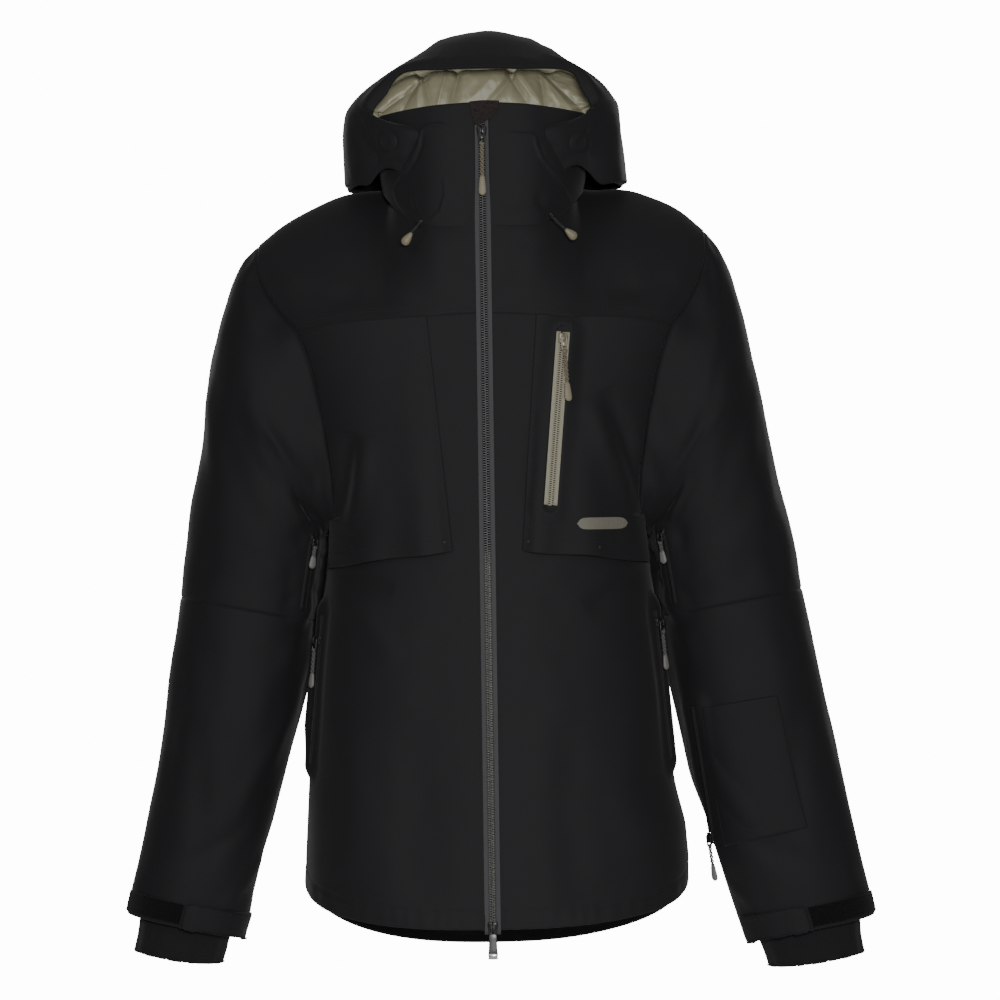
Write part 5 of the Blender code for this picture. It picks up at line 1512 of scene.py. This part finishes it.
# ---- zips ---------------------------------------------------------------------------------------
def zip_axes(top, bottom, outward, origin=None):
    """Axes of a zip as a 4 x 4 matrix: Z up its length, -Y outwards, X across."""
    top, bottom, out = (np.asarray(v, float) for v in (top, bottom, outward))
    up = (top - bottom) / np.linalg.norm(top - bottom)
    back = -(out - up * (out @ up))
    back /= np.linalg.norm(back)
    M = np.eye(4)
    M[:3, 0], M[:3, 1], M[:3, 2] = np.cross(back, up), back, up
    M[:3, 3] = top if origin is None else origin
    return M


def placed(part, M):
    name, points, faces = part
    points = np.asarray(points, float)
    return name, points @ M[:3, :3].T + M[:3, 3], faces


def moved(part, x=0.0, y=0.0, z=0.0):
    return part[0], np.asarray(part[1], float) + np.array([x, y, z]), part[2]


def layered(outline, levels):
    """Solid from an outline in x and z, in layers of (y, inset): bevelled faces without a modifier."""
    outline = np.asarray(outline, float)
    ahead, behind = np.roll(outline, -1, 0), np.roll(outline, 1, 0)
    run = (ahead - behind) / np.linalg.norm(ahead - behind, axis=1, keepdims=True)
    inward = np.stack([-run[:, 1], run[:, 0]], -1)
    points, count = [], len(outline)
    for y, inset in levels:
        ring = outline + inward * inset
        points.append(np.stack([ring[:, 0], np.full(count, y), ring[:, 1]], -1))
    faces = [tuple(range(count))]
    for r in range(len(levels) - 1):
        for i in range(count):
            j = (i + 1) % count
            faces.append((r * count + j, r * count + i, (r + 1) * count + i, (r + 1) * count + j))
    faces.append(tuple((len(levels) - 1) * count + i for i in range(count))[::-1])
    return "", np.concatenate(points), faces


def smooth_ring(corners, sides=28):
    """Closed smooth outline through corners, turning anticlockwise."""
    corners = np.asarray(corners, float)
    looped = np.concatenate([corners, corners[:1]])
    wrapped = np.concatenate([corners[-2:], looped, corners[1:3]])
    span = len(wrapped) - 1
    return spline(wrapped, np.linspace(2 / span, (2 + len(corners)) / span, sides, endpoint=False))


TOOTH = np.array([(-0.95, -0.42), (-0.30, -0.82), (0.55, -0.50), (1.25, -0.74), (3.25, -0.74),
                  (3.25, 0.74), (1.25, 0.74), (0.55, 0.50), (-0.30, 0.82), (-0.95, 0.42)]) * MM
TOOTH_PITCH = 2.55 * MM


def teeth(M, length, size=1.0, gaps=()):
    """Both rows of teeth, meshed along the middle of the zip."""
    parts = []
    pitch = TOOTH_PITCH * size
    depth = [(-1.32 * MM * size, 0.30 * MM * size), (-1.02 * MM * size, 0), (1.1 * MM * size, 0)]
    left = layered(TOOTH * size, depth)
    right = layered((TOOTH * size * np.array([-1, 1]))[::-1], depth)
    for k in range(int(length / pitch)):
        down = -(k + 0.5) * pitch
        for part, offset in ((left, 0), (right, pitch / 2)):
            z = down - offset
            if any(low < -z < high for low, high in gaps) or -z > length:
                continue
            parts.append(placed(moved(part, z=z), M))
    return parts


def tape(name, M, inner, outer, length, look, body, nodes=()):
    """Woven tape beside the teeth, with the corded bead that carries them."""
    pieces = []
    for side in (1, -1):
        xs = np.linspace(inner, outer, 12)
        zs = np.linspace(-length, 0, max(8, int(length / 0.004)))
        bow = 0.12 * MM * np.sin((xs - inner) / (outer - inner) * np.pi)
        P = np.stack([np.broadcast_to(xs, (len(zs), 12)), np.broadcast_to(0.15 * MM - bow, (len(zs), 12)),
                      np.broadcast_to(zs[:, None], (len(zs), 12))], -1)
        if side < 0:
            P = mirror(P)
        P = P @ M[:3, :3].T + M[:3, 3]
        N = normals(P)
        rows, columns = P.shape[:2]
        points = np.concatenate([P.reshape(-1, 3), (P - N * 0.7 * MM).reshape(-1, 3)])
        size = rows * columns
        faces = grid_faces(rows, columns, False) + grid_faces(rows, columns, False, size, True)
        rim = ([c for c in range(columns)] + [r * columns + columns - 1 for r in range(1, rows)]
               + [(rows - 1) * columns + c for c in range(columns - 2, -1, -1)]
               + [r * columns for r in range(rows - 2, 0, -1)])
        faces += [(b, a, size + a, size + b) for a, b in zip(rim, rim[1:] + rim[:1])]
        pieces.append(("", points, faces))
        line = np.array([(side * (inner - 0.15 * MM), -0.25 * MM, z) for z in np.linspace(-length, 0, 40)])
        pieces.append(placed(tube("", line, 0.42 * MM, 7, up=(0, 1, 0)), M))
    return trim(name, pieces, look, body, nodes=nodes)


def slider_parts(size=1.0):
    """Slider: shaped plate, flanges that wrap the teeth, and the bridge that holds the pull."""
    s = MM * size
    plate = smooth_ring([(-3.0, -5.5), (3.0, -5.5), (3.9, -2.0), (4.6, 1.6), (4.5, 4.6), (2.6, 5.4), (0, 4.6),
                         (-2.6, 5.4), (-4.5, 4.6), (-4.6, 1.6), (-3.9, -2.0)], 44) * s
    front = layered(plate,
                    [(-3.5 * s, 0.9 * s), (-3.3 * s, 0.35 * s), (-2.9 * s, 0), (-1.9 * s, 0),
                     (-1.7 * s, 0.3 * s)])
    parts = [front]
    for side in (1, -1):
        path = np.array([(side * 3.9, -1.0, -4.9), (side * 4.2, -0.9, -1.5), (side * 4.6, -0.9, 1.8),
                         (side * 4.5, -1.0, 4.2)]) * s
        parts.append(tube("", spline(path, np.linspace(0, 1, 14)), 0.75 * s, 8, squash=1.5, up=(0, 1, 0)))
    arch = np.array([(0, -2.9, 4.2), (0, -4.6, 4.2), (0, -6.6, 3.2), (0, -7.6, 0.6), (0, -7.3, -1.6),
                     (0, -5.6, -3.2), (0, -2.9, -3.8)]) * s
    parts.append(tube("", spline(arch, np.linspace(0, 1, 26)),
                      np.interp(np.linspace(0, 1, 26), [0, 0.5, 1], [1.5, 1.05, 1.5]) * s,
                      10, squash=0.55, up=(1, 0, 0)))
    for side in (1, -1):
        rib = np.array([(side * 2.0, -3.5, -3.6), (side * 2.5, -3.6, 0), (side * 2.6, -3.5, 3.6)]) * s
        parts.append(tube("", spline(rib, np.linspace(0, 1, 10)), 0.32 * s, 6, up=(0, 1, 0)))
    return parts


PULL_AXIS = -5.0 * MM


def loft(sections, sides=22, rings=46, n=2.6, wave=None, lean=0.0):
    """Moulded shape hanging down from the pull's axis; sections give drop, width and thickness."""
    sections = np.asarray(sections, float)
    drop = np.linspace(sections[0, 0], sections[-1, 0], rings)
    wide = np.interp(drop, sections[:, 0], sections[:, 1]) / 2
    thick = np.interp(drop, sections[:, 0], sections[:, 2]) / 2
    end = np.clip((sections[-1, 0] - drop) / (wide.max() * 0.9), 0, 1)
    top = np.clip((drop - sections[0, 0]) / (wide.max() * 0.45), 0, 1)
    rounded = np.sqrt(1 - (1 - end) ** 2 * 0.999) * np.sqrt(1 - (1 - top) ** 2 * 0.75)
    wide, thick = wide * rounded, thick * (0.35 + 0.65 * rounded)
    if wave is not None:
        wide = wide + wave(drop)
        thick = thick + wave(drop)
    turn = np.linspace(0, 2 * np.pi, sides, endpoint=False)
    x = power(np.cos(turn), n)[None] * wide[:, None] + lean * drop[:, None]
    y = power(np.sin(turn), n)[None] * thick[:, None]
    points = np.stack([x, y, np.broadcast_to(-drop[:, None], x.shape)], -1).reshape(-1, 3)
    faces = [(r * sides + c, r * sides + (c + 1) % sides, (r + 1) * sides + (c + 1) % sides,
              (r + 1) * sides + c)
             for r in range(rings - 1) for c in range(sides)]
    faces.append(tuple(range(sides))[::-1])
    faces.append(tuple((rings - 1) * sides + c for c in range(sides)))
    return "", points, faces


def tube_uv(thing, around, along):
    """Lengths in metres along two directions, for the pattern on a piece made of tubes."""
    mesh = thing.data
    layer = mesh.uv_layers.new(name="cloth")
    for loop in mesh.loops:
        co = mesh.vertices[loop.vertex_index].co
        layer.data[loop.index].uv = (co @ Vector(around), co @ Vector(along))


def link_parts(drop=15.0, lean=0.0):
    """Flat metal link that hangs from the bridge and holds the cord."""
    d = drop
    outer = np.array([(-2.3, 1.6), (-2.7, -d * 0.35), (-2.9, -d * 0.72), (-1.9, -d - 0.6), (1.9, -d - 0.6),
                      (2.9, -d * 0.72),
                      (2.7, -d * 0.35), (2.3, 1.6)]) * MM
    path = smooth_ring(outer, 40)
    path = np.stack([path[:, 0] - lean * path[:, 1], np.zeros(len(path)), path[:, 1]], -1)
    ring = tube("", path, 0.85 * MM, 8, closed=True, squash=1.0, up=(0, 1, 0))
    plate = layered(smooth_ring([(-2.2, -d * 0.60), (2.2, -d * 0.60), (2.0, -2.6), (-2.0, -2.6)], 24) * MM,
                    [(-0.75 * MM, 0.3 * MM), (-0.5 * MM, 0), (0.5 * MM, 0), (0.75 * MM, 0.3 * MM)])
    plate[1][:, 0] -= lean * plate[1][:, 2]
    return [ring, plate]


def pull(name, M, length, tab, body, node, link=15.0, lean=0.0, grey=False, metal="metal"):
    """Pull: metal link, a twisted loop of braid and a moulded tab, in place of the CAD pull."""
    P = M.copy()
    P[:3, 3] = M[:3, 3] + M[:3, 1] * PULL_AXIS
    length, tab = length * MM, tab * MM
    grip = loft([(length - tab, 5.4 * MM, 3.0 * MM), (length - 0.62 * tab, 7.2 * MM, 3.6 * MM),
                 (length - 0.25 * tab, 8.3 * MM, 3.8 * MM),
                 (length, 7.4 * MM, 3.2 * MM)],
                wave=lambda d: -0.22 * MM
                * bell((np.mod(d - length + tab - 2.2 * MM, 2.0 * MM) - 1.0 * MM) / (0.45 * MM))
                * (1 - step(length - 0.62 * tab, length - 0.5 * tab, d)), lean=lean)
    trim(name + "_tab", [placed(grip, P)], "grey_rubber" if grey else "rubber", body,
         nodes=[node])
    t = np.linspace(0, 1, 90)
    parts = []
    low, high = length - tab + 2.5 * MM, (link - 2.0) * MM
    for phase in (0, np.pi):
        turns = t * np.pi * 2 * max(2.0, (low - high) / (9 * MM)) + phase
        away = 1.25 * MM * np.minimum(1, 6 * np.minimum(t, 1 - t) + 0.55)
        drop = mix(high, low, t)
        path = np.stack([away * np.cos(turns) + lean * drop, away * 0.8 * np.sin(turns), -drop], -1)
        parts.append(placed(tube("", path, 1.02 * MM, 9, up=(0, 1, 0.01)), P))
    knot = np.stack([2.0 * MM * np.cos(t * 2 * np.pi) + lean * high, 1.4 * MM * np.sin(t * 2 * np.pi),
                     -high - 1.6 * MM + 0 * t], -1)
    parts.append(placed(tube("", knot[:-1], 1.1 * MM, 9, closed=True, up=(0, 0, 1)), P))
    loop = trim(name + "_loop", parts, "grey_braid" if grey else "braid", body)
    tube_uv(loop, tuple(P[:3, 0]), tuple(P[:3, 2]))
    trim(name + "_link", [placed(p, P) for p in link_parts(link, lean)], metal, body)


def slider(name, M, body, node, size=1.0, look="metal"):
    piece = trim(name + "_body", [placed(p, M) for p in slider_parts(size)], look, body, nodes=[node])
    soften(piece, 0.16 * MM, 2)


def front_zip():
    M = zip_axes(ZIP_TOP, ZIP_BOTTOM, (0, -1, 0))
    length = float(np.linalg.norm(ZIP_TOP - ZIP_BOTTOM))
    gaps = [(0.0195, 0.0300), (length - 0.0135, length - 0.0025)]
    trim("front_teeth", teeth(M, length, 1.0, gaps), "teeth", "body", smooth=False,
         nodes=["zip_teeth_left", "zip_teeth_right"])
    tape("front_tape", M, 3.6 * MM, 8.4 * MM, length, "tape", "body",
         ["zip_tape_left", "zip_tape_right"])
    down = (ZIP_BOTTOM - ZIP_TOP) / length
    top = zip_axes(ZIP_TOP, ZIP_BOTTOM, (0, -1, 0), ZIP_TOP + down * 0.0245)
    slider("main_slider", top, "main_slider", "main_slider")
    pull("main", top, 69, 21, "main_pull", "main_pull", link=14.5)
    low = zip_axes(ZIP_TOP, ZIP_BOTTOM, (0, -1, 0), ZIP_TOP + down * (length - 0.008))
    slider("bottom_slider", low, "bottom_slider", "bottom_slider")
    bottom_puller(low)
    stops = []
    for side in (1, -1):
        box = smooth_ring([(0.4, -1.2), (3.2, -1.2), (3.2, 1.2), (0.4, 1.2)], 16) * MM
        if side < 0:
            box = (box * np.array([-1, 1]))[::-1]
        stops.append(placed(moved(layered(box, [(-1.8 * MM, 0.4 * MM), (-1.4 * MM, 0), (1.2 * MM, 0)]),
                                  z=-length + 1.4 * MM), M))
    trim("zip_end_stops", stops, "metal", "body")


def bottom_puller(M):
    """Flat metal puller with a hole at its eye and a bright tip."""
    P = M.copy()
    P[:3, 3] = M[:3, 3] + M[:3, 1] * PULL_AXIS
    ring = smooth_ring(np.array([(-2.6, 1.6), (-3.0, -4.0), (-2.6, -8.6), (2.6, -8.6), (3.0, -4.0),
                                 (2.6, 1.6)]), 32) * MM
    path = np.stack([ring[:, 0], np.zeros(len(ring)), ring[:, 1]], -1)
    eye = tube("", path, 0.9 * MM, 8, closed=True, up=(0, 1, 0))
    outline = smooth_ring([(-4.5, -28.4), (4.5, -28.4), (4.6, -24.0), (4.2, -14.0), (3.4, -8.0),
                           (-3.4, -8.0), (-4.2, -14.0), (-4.6, -24.0)], 40) * MM
    plate = layered(outline, [(-0.95 * MM, 0.45 * MM), (-0.6 * MM, 0), (0.6 * MM, 0), (0.95 * MM, 0.45 * MM)])
    piece = trim("bottom_puller", [placed(eye, P), placed(plate, P)], "metal", "bottom_pull",
                 nodes=["bottom_pull"])
    soften(piece, 0.14 * MM, 2)
    outline = smooth_ring([(-4.6, -33.6), (4.6, -33.6), (4.7, -31.0), (4.6, -27.8), (-4.6, -27.8),
                           (-4.7, -31.0)], 30) * MM
    tip = layered(outline, [(-1.15 * MM, 0.4 * MM), (-0.85 * MM, 0), (0.85 * MM, 0), (1.15 * MM, 0.4 * MM)])
    trim("bottom_puller_tip", [placed(tip, P)], "nickel", "bottom_pull")


def chest_zip():
    (tx, tz), (bx, bz) = CHEST_ZIP
    top, low = body_at(tx, tz, CHEST_LIFT), body_at(bx, bz, CHEST_LIFT)
    out = outward_at(22, -0.25)
    M = zip_axes(top, low, out)
    length = float(np.linalg.norm(top - low))
    tape("chest_tape", M, 3.2 * MM, 7.2 * MM, length, "khaki_tape", "body", ["chest_zip"])
    trim("chest_teeth", teeth(M, length, 0.92, [(0.0015, 0.0120)]), "khaki_teeth", "body",
         smooth=False)
    at = zip_axes(top, low, out, top + (low - top) / length * 7 * MM)
    slider("chest_slider", at, "chest_slider", "chest_slider", 1.0, "khaki_metal")
    pull("chest", at, 66, 20, "chest_pull", "chest_pull", link=13.5, lean=CHEST_LEAN, metal="khaki_metal")
    # two short seams above the zip, and a stitched box below it
    lines = []
    for dx in (-6.0, 6.6):
        rise = np.linspace(tz + 0.001, yoke_seam(tx) - 0.004, 12)
        path, _ = on_chest(np.full(12, tx + 0.0015 + dx * MM), rise, 0.0)
        lines.append(tube("", path, 0.42 * MM, 6, up=(0, 1, 0)))
    trim("chest_zip_seams", lines, "shell_plain", "body")
    loop = []
    for x, z in ((bx - 7.5 * MM, bz - 3.5 * MM), (bx + 5.5 * MM, bz - 3.5 * MM),
                 (bx + 5.5 * MM, bz - 19 * MM), (bx - 7.5 * MM, bz - 19 * MM),
                 (bx - 7.5 * MM, bz - 3.5 * MM)):
        loop.append((x, z))
    dense = np.concatenate([np.linspace(a, b, 14, endpoint=False) for a, b in zip(loop, loop[1:])])
    dense, away = on_chest(dense[:, 0], dense[:, 1], 0.1 * MM)
    trim("chest_zip_box", stitches(dense, away, pitch=2.6 * MM, long=1.9 * MM), "thread",
         "body")


CHEST_LEAN = 0.15


def outward_at(angle, z):
    side = torso(angle + 1, z) - torso(angle - 1, z)
    n = np.array([side[1], -side[0], 0.0])
    n /= np.linalg.norm(n)
    return n if n @ (torso(angle, z, inset=-0.01) - torso(angle, z)) > 0 else -n


def side_zip(name, top, low, out, slide, length_pull, tab, body_zip, prefix, half=4.2 * MM, link=9.0):
    """Fine zip on black tape, with its slider and grey pull."""
    M = zip_axes(top, low, out)
    length = float(np.linalg.norm(np.asarray(top) - np.asarray(low)))
    tape(name + "_tape", M, 2.1 * MM, half, length, "dark_tape", body_zip, [prefix + "_zip"])
    trim(name + "_teeth", teeth(M, length, 0.62, [(slide - 0.005, slide + 0.005)]), "teeth",
         body_zip, smooth=False)
    at = zip_axes(top, low, out, np.asarray(top) + (np.asarray(low) - np.asarray(top)) / length * slide)
    slider(prefix + "_slider", at, prefix + "_slider", prefix + "_slider", 0.9)
    pull(prefix, at, length_pull, tab, prefix + "_pull", prefix + "_pull", link=link, grey=True)


def point_on_sleeve(k, angle, lift):
    """The model's own straight reading between sections, so that zips sit exactly on their axes."""
    first, second = SLEEVE[int(k)], SLEEVE[min(int(k) + 1, len(SLEEVE) - 1)]
    ox, oz, ix, iz, deep = mix(first, second, k - int(k))
    outer, inner = np.array([ox, MIDDLE_Y, oz]), np.array([ix, MIDDLE_Y, iz])
    centre, half = (outer + inner) / 2, (outer - inner) / 2
    half = half * (1 + lift / np.linalg.norm(half))
    turn = math.radians(angle)
    point = centre + half * power(math.cos(turn), SLEEVE_POWER)
    point[1] -= (deep + lift) * power(math.sin(turn), SLEEVE_POWER)
    return point


HAND_ZIP = (75.0, -0.450, -0.610)
HAND_OUTWARD = (0.78, -0.626, 0.0)
HAND_SLIDES = (14 * MM, 28 * MM)


def zip_lines():
    """Top, bottom, way out and cloth of each zip that is sewn flat into a side or a sleeve."""
    angle, high, bottom = HAND_ZIP
    lines = [(point_on_sleeve(4.9, 139, 3.6 * MM), point_on_sleeve(6.25, 157, 4.6 * MM),
              np.array([-0.74, -0.67, 0]), "sleeve_shell")]
    for side in (1, -1):
        flip = np.array([side, 1, 1])
        ends = [torso(angle, z, inset=-5 * MM) * flip for z in (high, bottom)]
        lines.append((*ends, np.array(HAND_OUTWARD) * flip, "body_shell"))
        ends = [point_on_sleeve(k, 142, 4 * MM) * flip for k in (0.9, 3.75)]
        lines.append((*ends, np.array([-0.62, -0.78, 0]) * flip, "sleeve_shell"))
    return lines


def small_zips():
    angle, high, bottom = HAND_ZIP
    for side, name, slide in ((1, "left", HAND_SLIDES[0]), (-1, "right", HAND_SLIDES[1])):
        flip = np.array([side, 1, 1])
        ends = [torso(angle, z, inset=-5 * MM) * flip for z in (high, bottom)]
        side_zip("hand_" + name, ends[0], ends[1], np.array(HAND_OUTWARD) * flip, slide, 51, 16, "body",
                 "hand_pocket_" + name, link=11.0)
        ends = [point_on_sleeve(k, 142, 4 * MM) * flip for k in (0.9, 3.75)]
        side_zip("vent_" + name, ends[0], ends[1], (-side * 0.62, -0.78, 0), 7 * MM, 30, 14, "arm_" + name,
                 "vent_" + name, link=8.0)
    top, low = point_on_sleeve(4.9, 139, 3.6 * MM), point_on_sleeve(6.25, 157, 4.6 * MM)
    length = float(np.linalg.norm(top - low))
    side_zip("pass", top, low, (-0.74, -0.67, 0), length - 9 * MM, 48, 18, "forearm_left", "pass_pocket",
             link=9.0)


# ---- small parts ------------------------------------------------------------------------------
def garage():
    """Soft flap folded over the top end of the zip."""
    low = curve([(-0.0070, 0, 0.0655), (-0.0040, 0, 0.0648), (0.0, 0, 0.0660)])
    top = curve([(-0.0125, 0, 0.0895), (0.0020, 0, 0.0905), (0.0190, 0, 0.0900)])
    near = curve([(-0.0070, 0, 0.0655), (-0.0098, 0, 0.0740), (-0.0125, 0, 0.0895)])
    far = curve([(0.0, 0, 0.0660), (0.0110, 0, 0.0735), (0.0168, 0, 0.0815), (0.0190, 0, 0.0900)])
    P = coons(low, top, near, far, np.linspace(0, 1, 40), np.linspace(0, 1, 40))
    P[..., 1] = front_y(P[..., 2]) - 3.4 * MM - 0.9 * MM * bell((P[..., 0] - 0.002) / 0.008)
    P = rolled(P, 0.9 * MM, left=True, right=True, low=True, reach=1.8 * MM)
    cloth("garage", P, 1.3 * MM, "tricot", "soft_tricot", "body", ["zip_garage"])


# Route of each drawcord from its eyelet down to the top of its toggle, as in the model
DRAWCORDS = {
    "left": [(0.0735, -0.1790, -0.0330), (0.0765, -0.1830, -0.0370), (0.0815, -0.1835, -0.0420),
             (0.0868, -0.1815, -0.0465)],
    "right": [(-0.0670, -0.1835, -0.0385), (-0.0692, -0.1865, -0.0412), (-0.0722, -0.1866, -0.0445),
              (-0.0750, -0.1860, -0.0482)],
}
CORD_WIDTH = 2.4 * MM
TOGGLE = [(0.0, 1.5), (2.0, 2.6), (6.5, 4.2), (11.0, 5.0), (14.0, 3.8), (15.2, 1.6)]


def drawcords():
    for name, route in DRAWCORDS.items():
        points = spline(route, np.linspace(0, 1, 16))
        heading = np.array(route[-1]) - np.array(route[-2])
        heading /= np.linalg.norm(heading)
        inside = [points[-1] + heading * d * MM for d in (2.0, 5.0, 8.0, 11.0, 13.4)]
        # a little of it runs back from the eyelet, in its channel under the cloth
        entry = points[0] - points[1]
        entry = points[0] + entry / np.linalg.norm(entry) * np.array([[5.0], [2.5]]) * MM
        path = np.concatenate([entry, points, inside])
        drops = np.array(TOGGLE)
        d = np.linspace(0, 15.2, 40)
        radius = np.interp(d, drops[:, 0], drops[:, 1]) * MM
        radius = np.convolve(np.pad(radius, 2, mode="edge"), np.ones(5) / 5, "valid")
        radius[0], radius[-1] = 1.3 * MM, 0.9 * MM
        axis = route[-1] + heading * (d[:, None] + 0.4) * MM
        trim("toggle_grip_" + name, [tube("", axis, radius, 24, squash=0.72, up=(0, -1, 0.2))], "rubber",
             "body",
                    nodes=["toggle_" + name])
        collar = route[-1] + heading * np.array([0.1, 0.5, 1.3, 1.8])[:, None] * MM
        trim("toggle_collar_" + name,
             [tube("", collar, np.array([1.5, 1.9, 1.9, 1.4]) * MM, 18, up=(0, -1, 0.2))], "rubber",
             "body")
        made = tube("", path, CORD_WIDTH / 2, 12, up=(0.2, -1, 0.1))
        piece = trim("cord_" + name, [made], "cord", "body", nodes=["drawcord_" + name])
        tube_uv(piece, (1, 0, 0), (0, 0, 1))
        # reinforced eyelet where the cord leaves the cloth
        turn = np.linspace(0, 2 * np.pi, 28, endpoint=False)
        start = np.array(route[0])
        away = np.array(route[1]) - start
        away /= np.linalg.norm(away)
        u = np.cross(away, (0, 0, 1))
        u /= np.linalg.norm(u)
        v = np.cross(u, away)
        ring = start + away * 1.2 * MM + 2.3 * MM * (np.cos(turn)[:, None] * u + np.sin(turn)[:, None] * v)
        trim("eyelet_" + name, [tube("", ring, 0.8 * MM, 10, closed=True, up=tuple(away))], "metal",
             "body")


def on_chest(x, z, lift):
    """Points on the wearer's left chest panel at x and z, and the way out from it."""
    P = CHEST_GRID["left"]
    N, flat = normals(P).reshape(-1, 3), P.reshape(-1, 3)
    points, out = [], []
    for px, pz in zip(np.ravel(x), np.ravel(z)):
        away = np.hypot(flat[:, 0] - px, flat[:, 2] - pz)
        near = np.argsort(away)[:6]
        weight = 1 / (away[near] + 1e-5)
        weight /= weight.sum()
        normal = weight @ N[near]
        normal /= np.linalg.norm(normal)
        points.append(np.array([px, weight @ flat[near, 1], pz]) + normal * lift)
        out.append(normal)
    shape = (*np.shape(x), 3)
    return np.array(points).reshape(shape), np.array(out).reshape(shape)


def chest_print():
    """Plain rounded bar of raised print low on the wearer's left chest panel; it stands for no mark."""
    xs, zs = np.linspace(-1, 1, 60), np.linspace(-1, 1, 18)
    X, Z = np.meshgrid(xs, zs)
    width = 0.0270 * (1 - 0.05 * np.abs(Z) ** 3)
    P, _ = on_chest(0.1215 + X * width, -0.3570 + Z * 0.0062 * np.sqrt(1 - 0.97 * np.abs(X) ** 8), 0.45 * MM)
    piece = shell("print_bar", P, 0.35 * MM)
    trim("print_bar", piece, "print", "body")


def hanger():
    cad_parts["hanger_loop"].data.materials.clear()
    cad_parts["hanger_loop"].data.materials.append(LOOK["webbing"])


STUDY_ROWS, STUDY_COLUMNS = 78, 130     # the coarse cloth that is let settle
SETTLED = 28                            # frame at which it is read
FARTHEST = 0.009                        # its movement is cut off at this much
KEPT = 0.6                              # share of what is left that the lining takes


def satin_folds(P):
    """Let the lining wrinkle as a real cloth: pinned at its rim, a little too large, then settled."""
    rows, columns = P.shape[:2]
    r = np.linspace(0, rows - 1, STUDY_ROWS).round().astype(int)
    c = np.linspace(0, columns - 1, STUDY_COLUMNS).round().astype(int)
    coarse = P[r][:, c]
    thing = linked("lining_study",
                   mesh_of("lining_study", coarse.reshape(-1, 3), grid_faces(len(r), len(c), False)))
    pins = thing.vertex_groups.new(name="pins")
    edge = [i * len(c) + j for i in range(len(r)) for j in range(len(c))
            if i in (0, len(r) - 1) or j in (0, len(c) - 1)]
    pins.add(edge, 1.0, "REPLACE")
    drape = thing.modifiers.new("drape", "CLOTH")
    settings = drape.settings
    settings.quality = 6
    settings.mass = 0.12
    settings.tension_stiffness = settings.compression_stiffness = 12.0
    settings.shear_stiffness = 4.0
    settings.bending_stiffness = 0.03
    settings.air_damping = 2.0
    settings.vertex_group_mass = "pins"
    settings.shrink_min = settings.shrink_max = -0.035
    settings.effector_weights.gravity = 0.35
    scene = bpy.context.scene
    for frame_number in range(1, SETTLED + 1):
        scene.frame_set(frame_number)
    graph = bpy.context.evaluated_depsgraph_get()
    settled = thing.evaluated_get(graph).to_mesh()
    points = np.empty(len(settled.vertices) * 3)
    settled.vertices.foreach_get("co", points)
    moved = points.reshape(len(r), len(c), 3) - hung(coarse)
    scene.frame_set(1)
    bpy.data.objects.remove(thing, do_unlink=True)
    far = np.linalg.norm(moved, axis=2, keepdims=True)
    moved = KEPT * moved * np.minimum(1.0, FARTHEST / np.maximum(far, 1e-9))
    wide = spline(moved, np.linspace(0, 1, rows))
    return P + np.swapaxes(spline(np.swapaxes(wide, 0, 1), np.linspace(0, 1, columns)), 0, 1)


# Creases of the satin: across at 0.10 m up, lean, half width, height
SATIN_CREASES = [
    (-0.098, 0.90, 0.0050, 0.0035), (-0.086, 0.10, 0.0060, 0.0060), (-0.070, -0.50, 0.0050, -0.0050),
    (-0.060, -0.62, 0.0042, 0.0040), (-0.0495, 0.0, 0.0022, -0.0026), (-0.034, 0.08, 0.0045, 0.0055),
    (-0.004, 1.15, 0.0110, -0.0055), (0.012, 1.15, 0.0060, 0.0045), (0.050, -0.36, 0.0050, 0.0055),
    (0.064, -0.44, 0.0045, -0.0045), (0.072, 0.34, 0.0050, 0.0050), (0.090, -0.30, 0.0055, -0.0045),
    (0.102, -0.50, 0.0050, 0.0045)]


def satin_creases(P, rows):
    """The long creases that the slack satin holds between the brim and the collar."""
    n = normals(P)
    x, z = P[..., 0], P[..., 2]
    rise = np.zeros(x.shape)
    for across, lean, half, height in SATIN_CREASES:
        u = (x - across - lean * (z - 0.10)) / half
        rise += height * np.exp(-np.abs(u) ** 1.4)
    ends = step(0.05, 0.14, rows) * (1.0 - step(0.62, 0.78, rows))
    rise = np.clip(rise, -2.0 * MM, 7.0 * MM)
    return P - n * (rise * ends[:, None])[..., None]


def hood_pieces():
    hood()
    P, rows = hood_lining()
    P = satin_creases(satin_folds(P), rows)
    satin_side = P[:, ::-1].copy()
    cloth("hood_satin", satin_side, 0.5 * MM, "lining", "lining", None, ["hood_lining"], blend=HOOD_LINK)
    # narrow black facing that turns from the rim of the opening to the satin
    columns = np.linspace(*LINED, 200)
    rest = hood_rest(np.linspace(0.0, 0.075, 16), columns)
    rest = rest - normals(rest) * (np.linspace(2.4, 3.4, 16) * MM)[:, None, None]
    cloth("hood_facing", rest[:, ::-1], 0.6 * MM, "facing", "body_shell", None, blend=HOOD_LINK)


# ---- the making ----------------------------------------------------------------------------------
place_camera()
LOOK.update(finishes())
drawcords()
studio()
front_panels()
back_panel()
yokes()
body_lining()
collars()
chest_panels()
sleeves()
cuffs()
pass_panel()
hood_pieces()
garage()
front_zip()
chest_zip()
small_zips()
chest_print()
hanger()
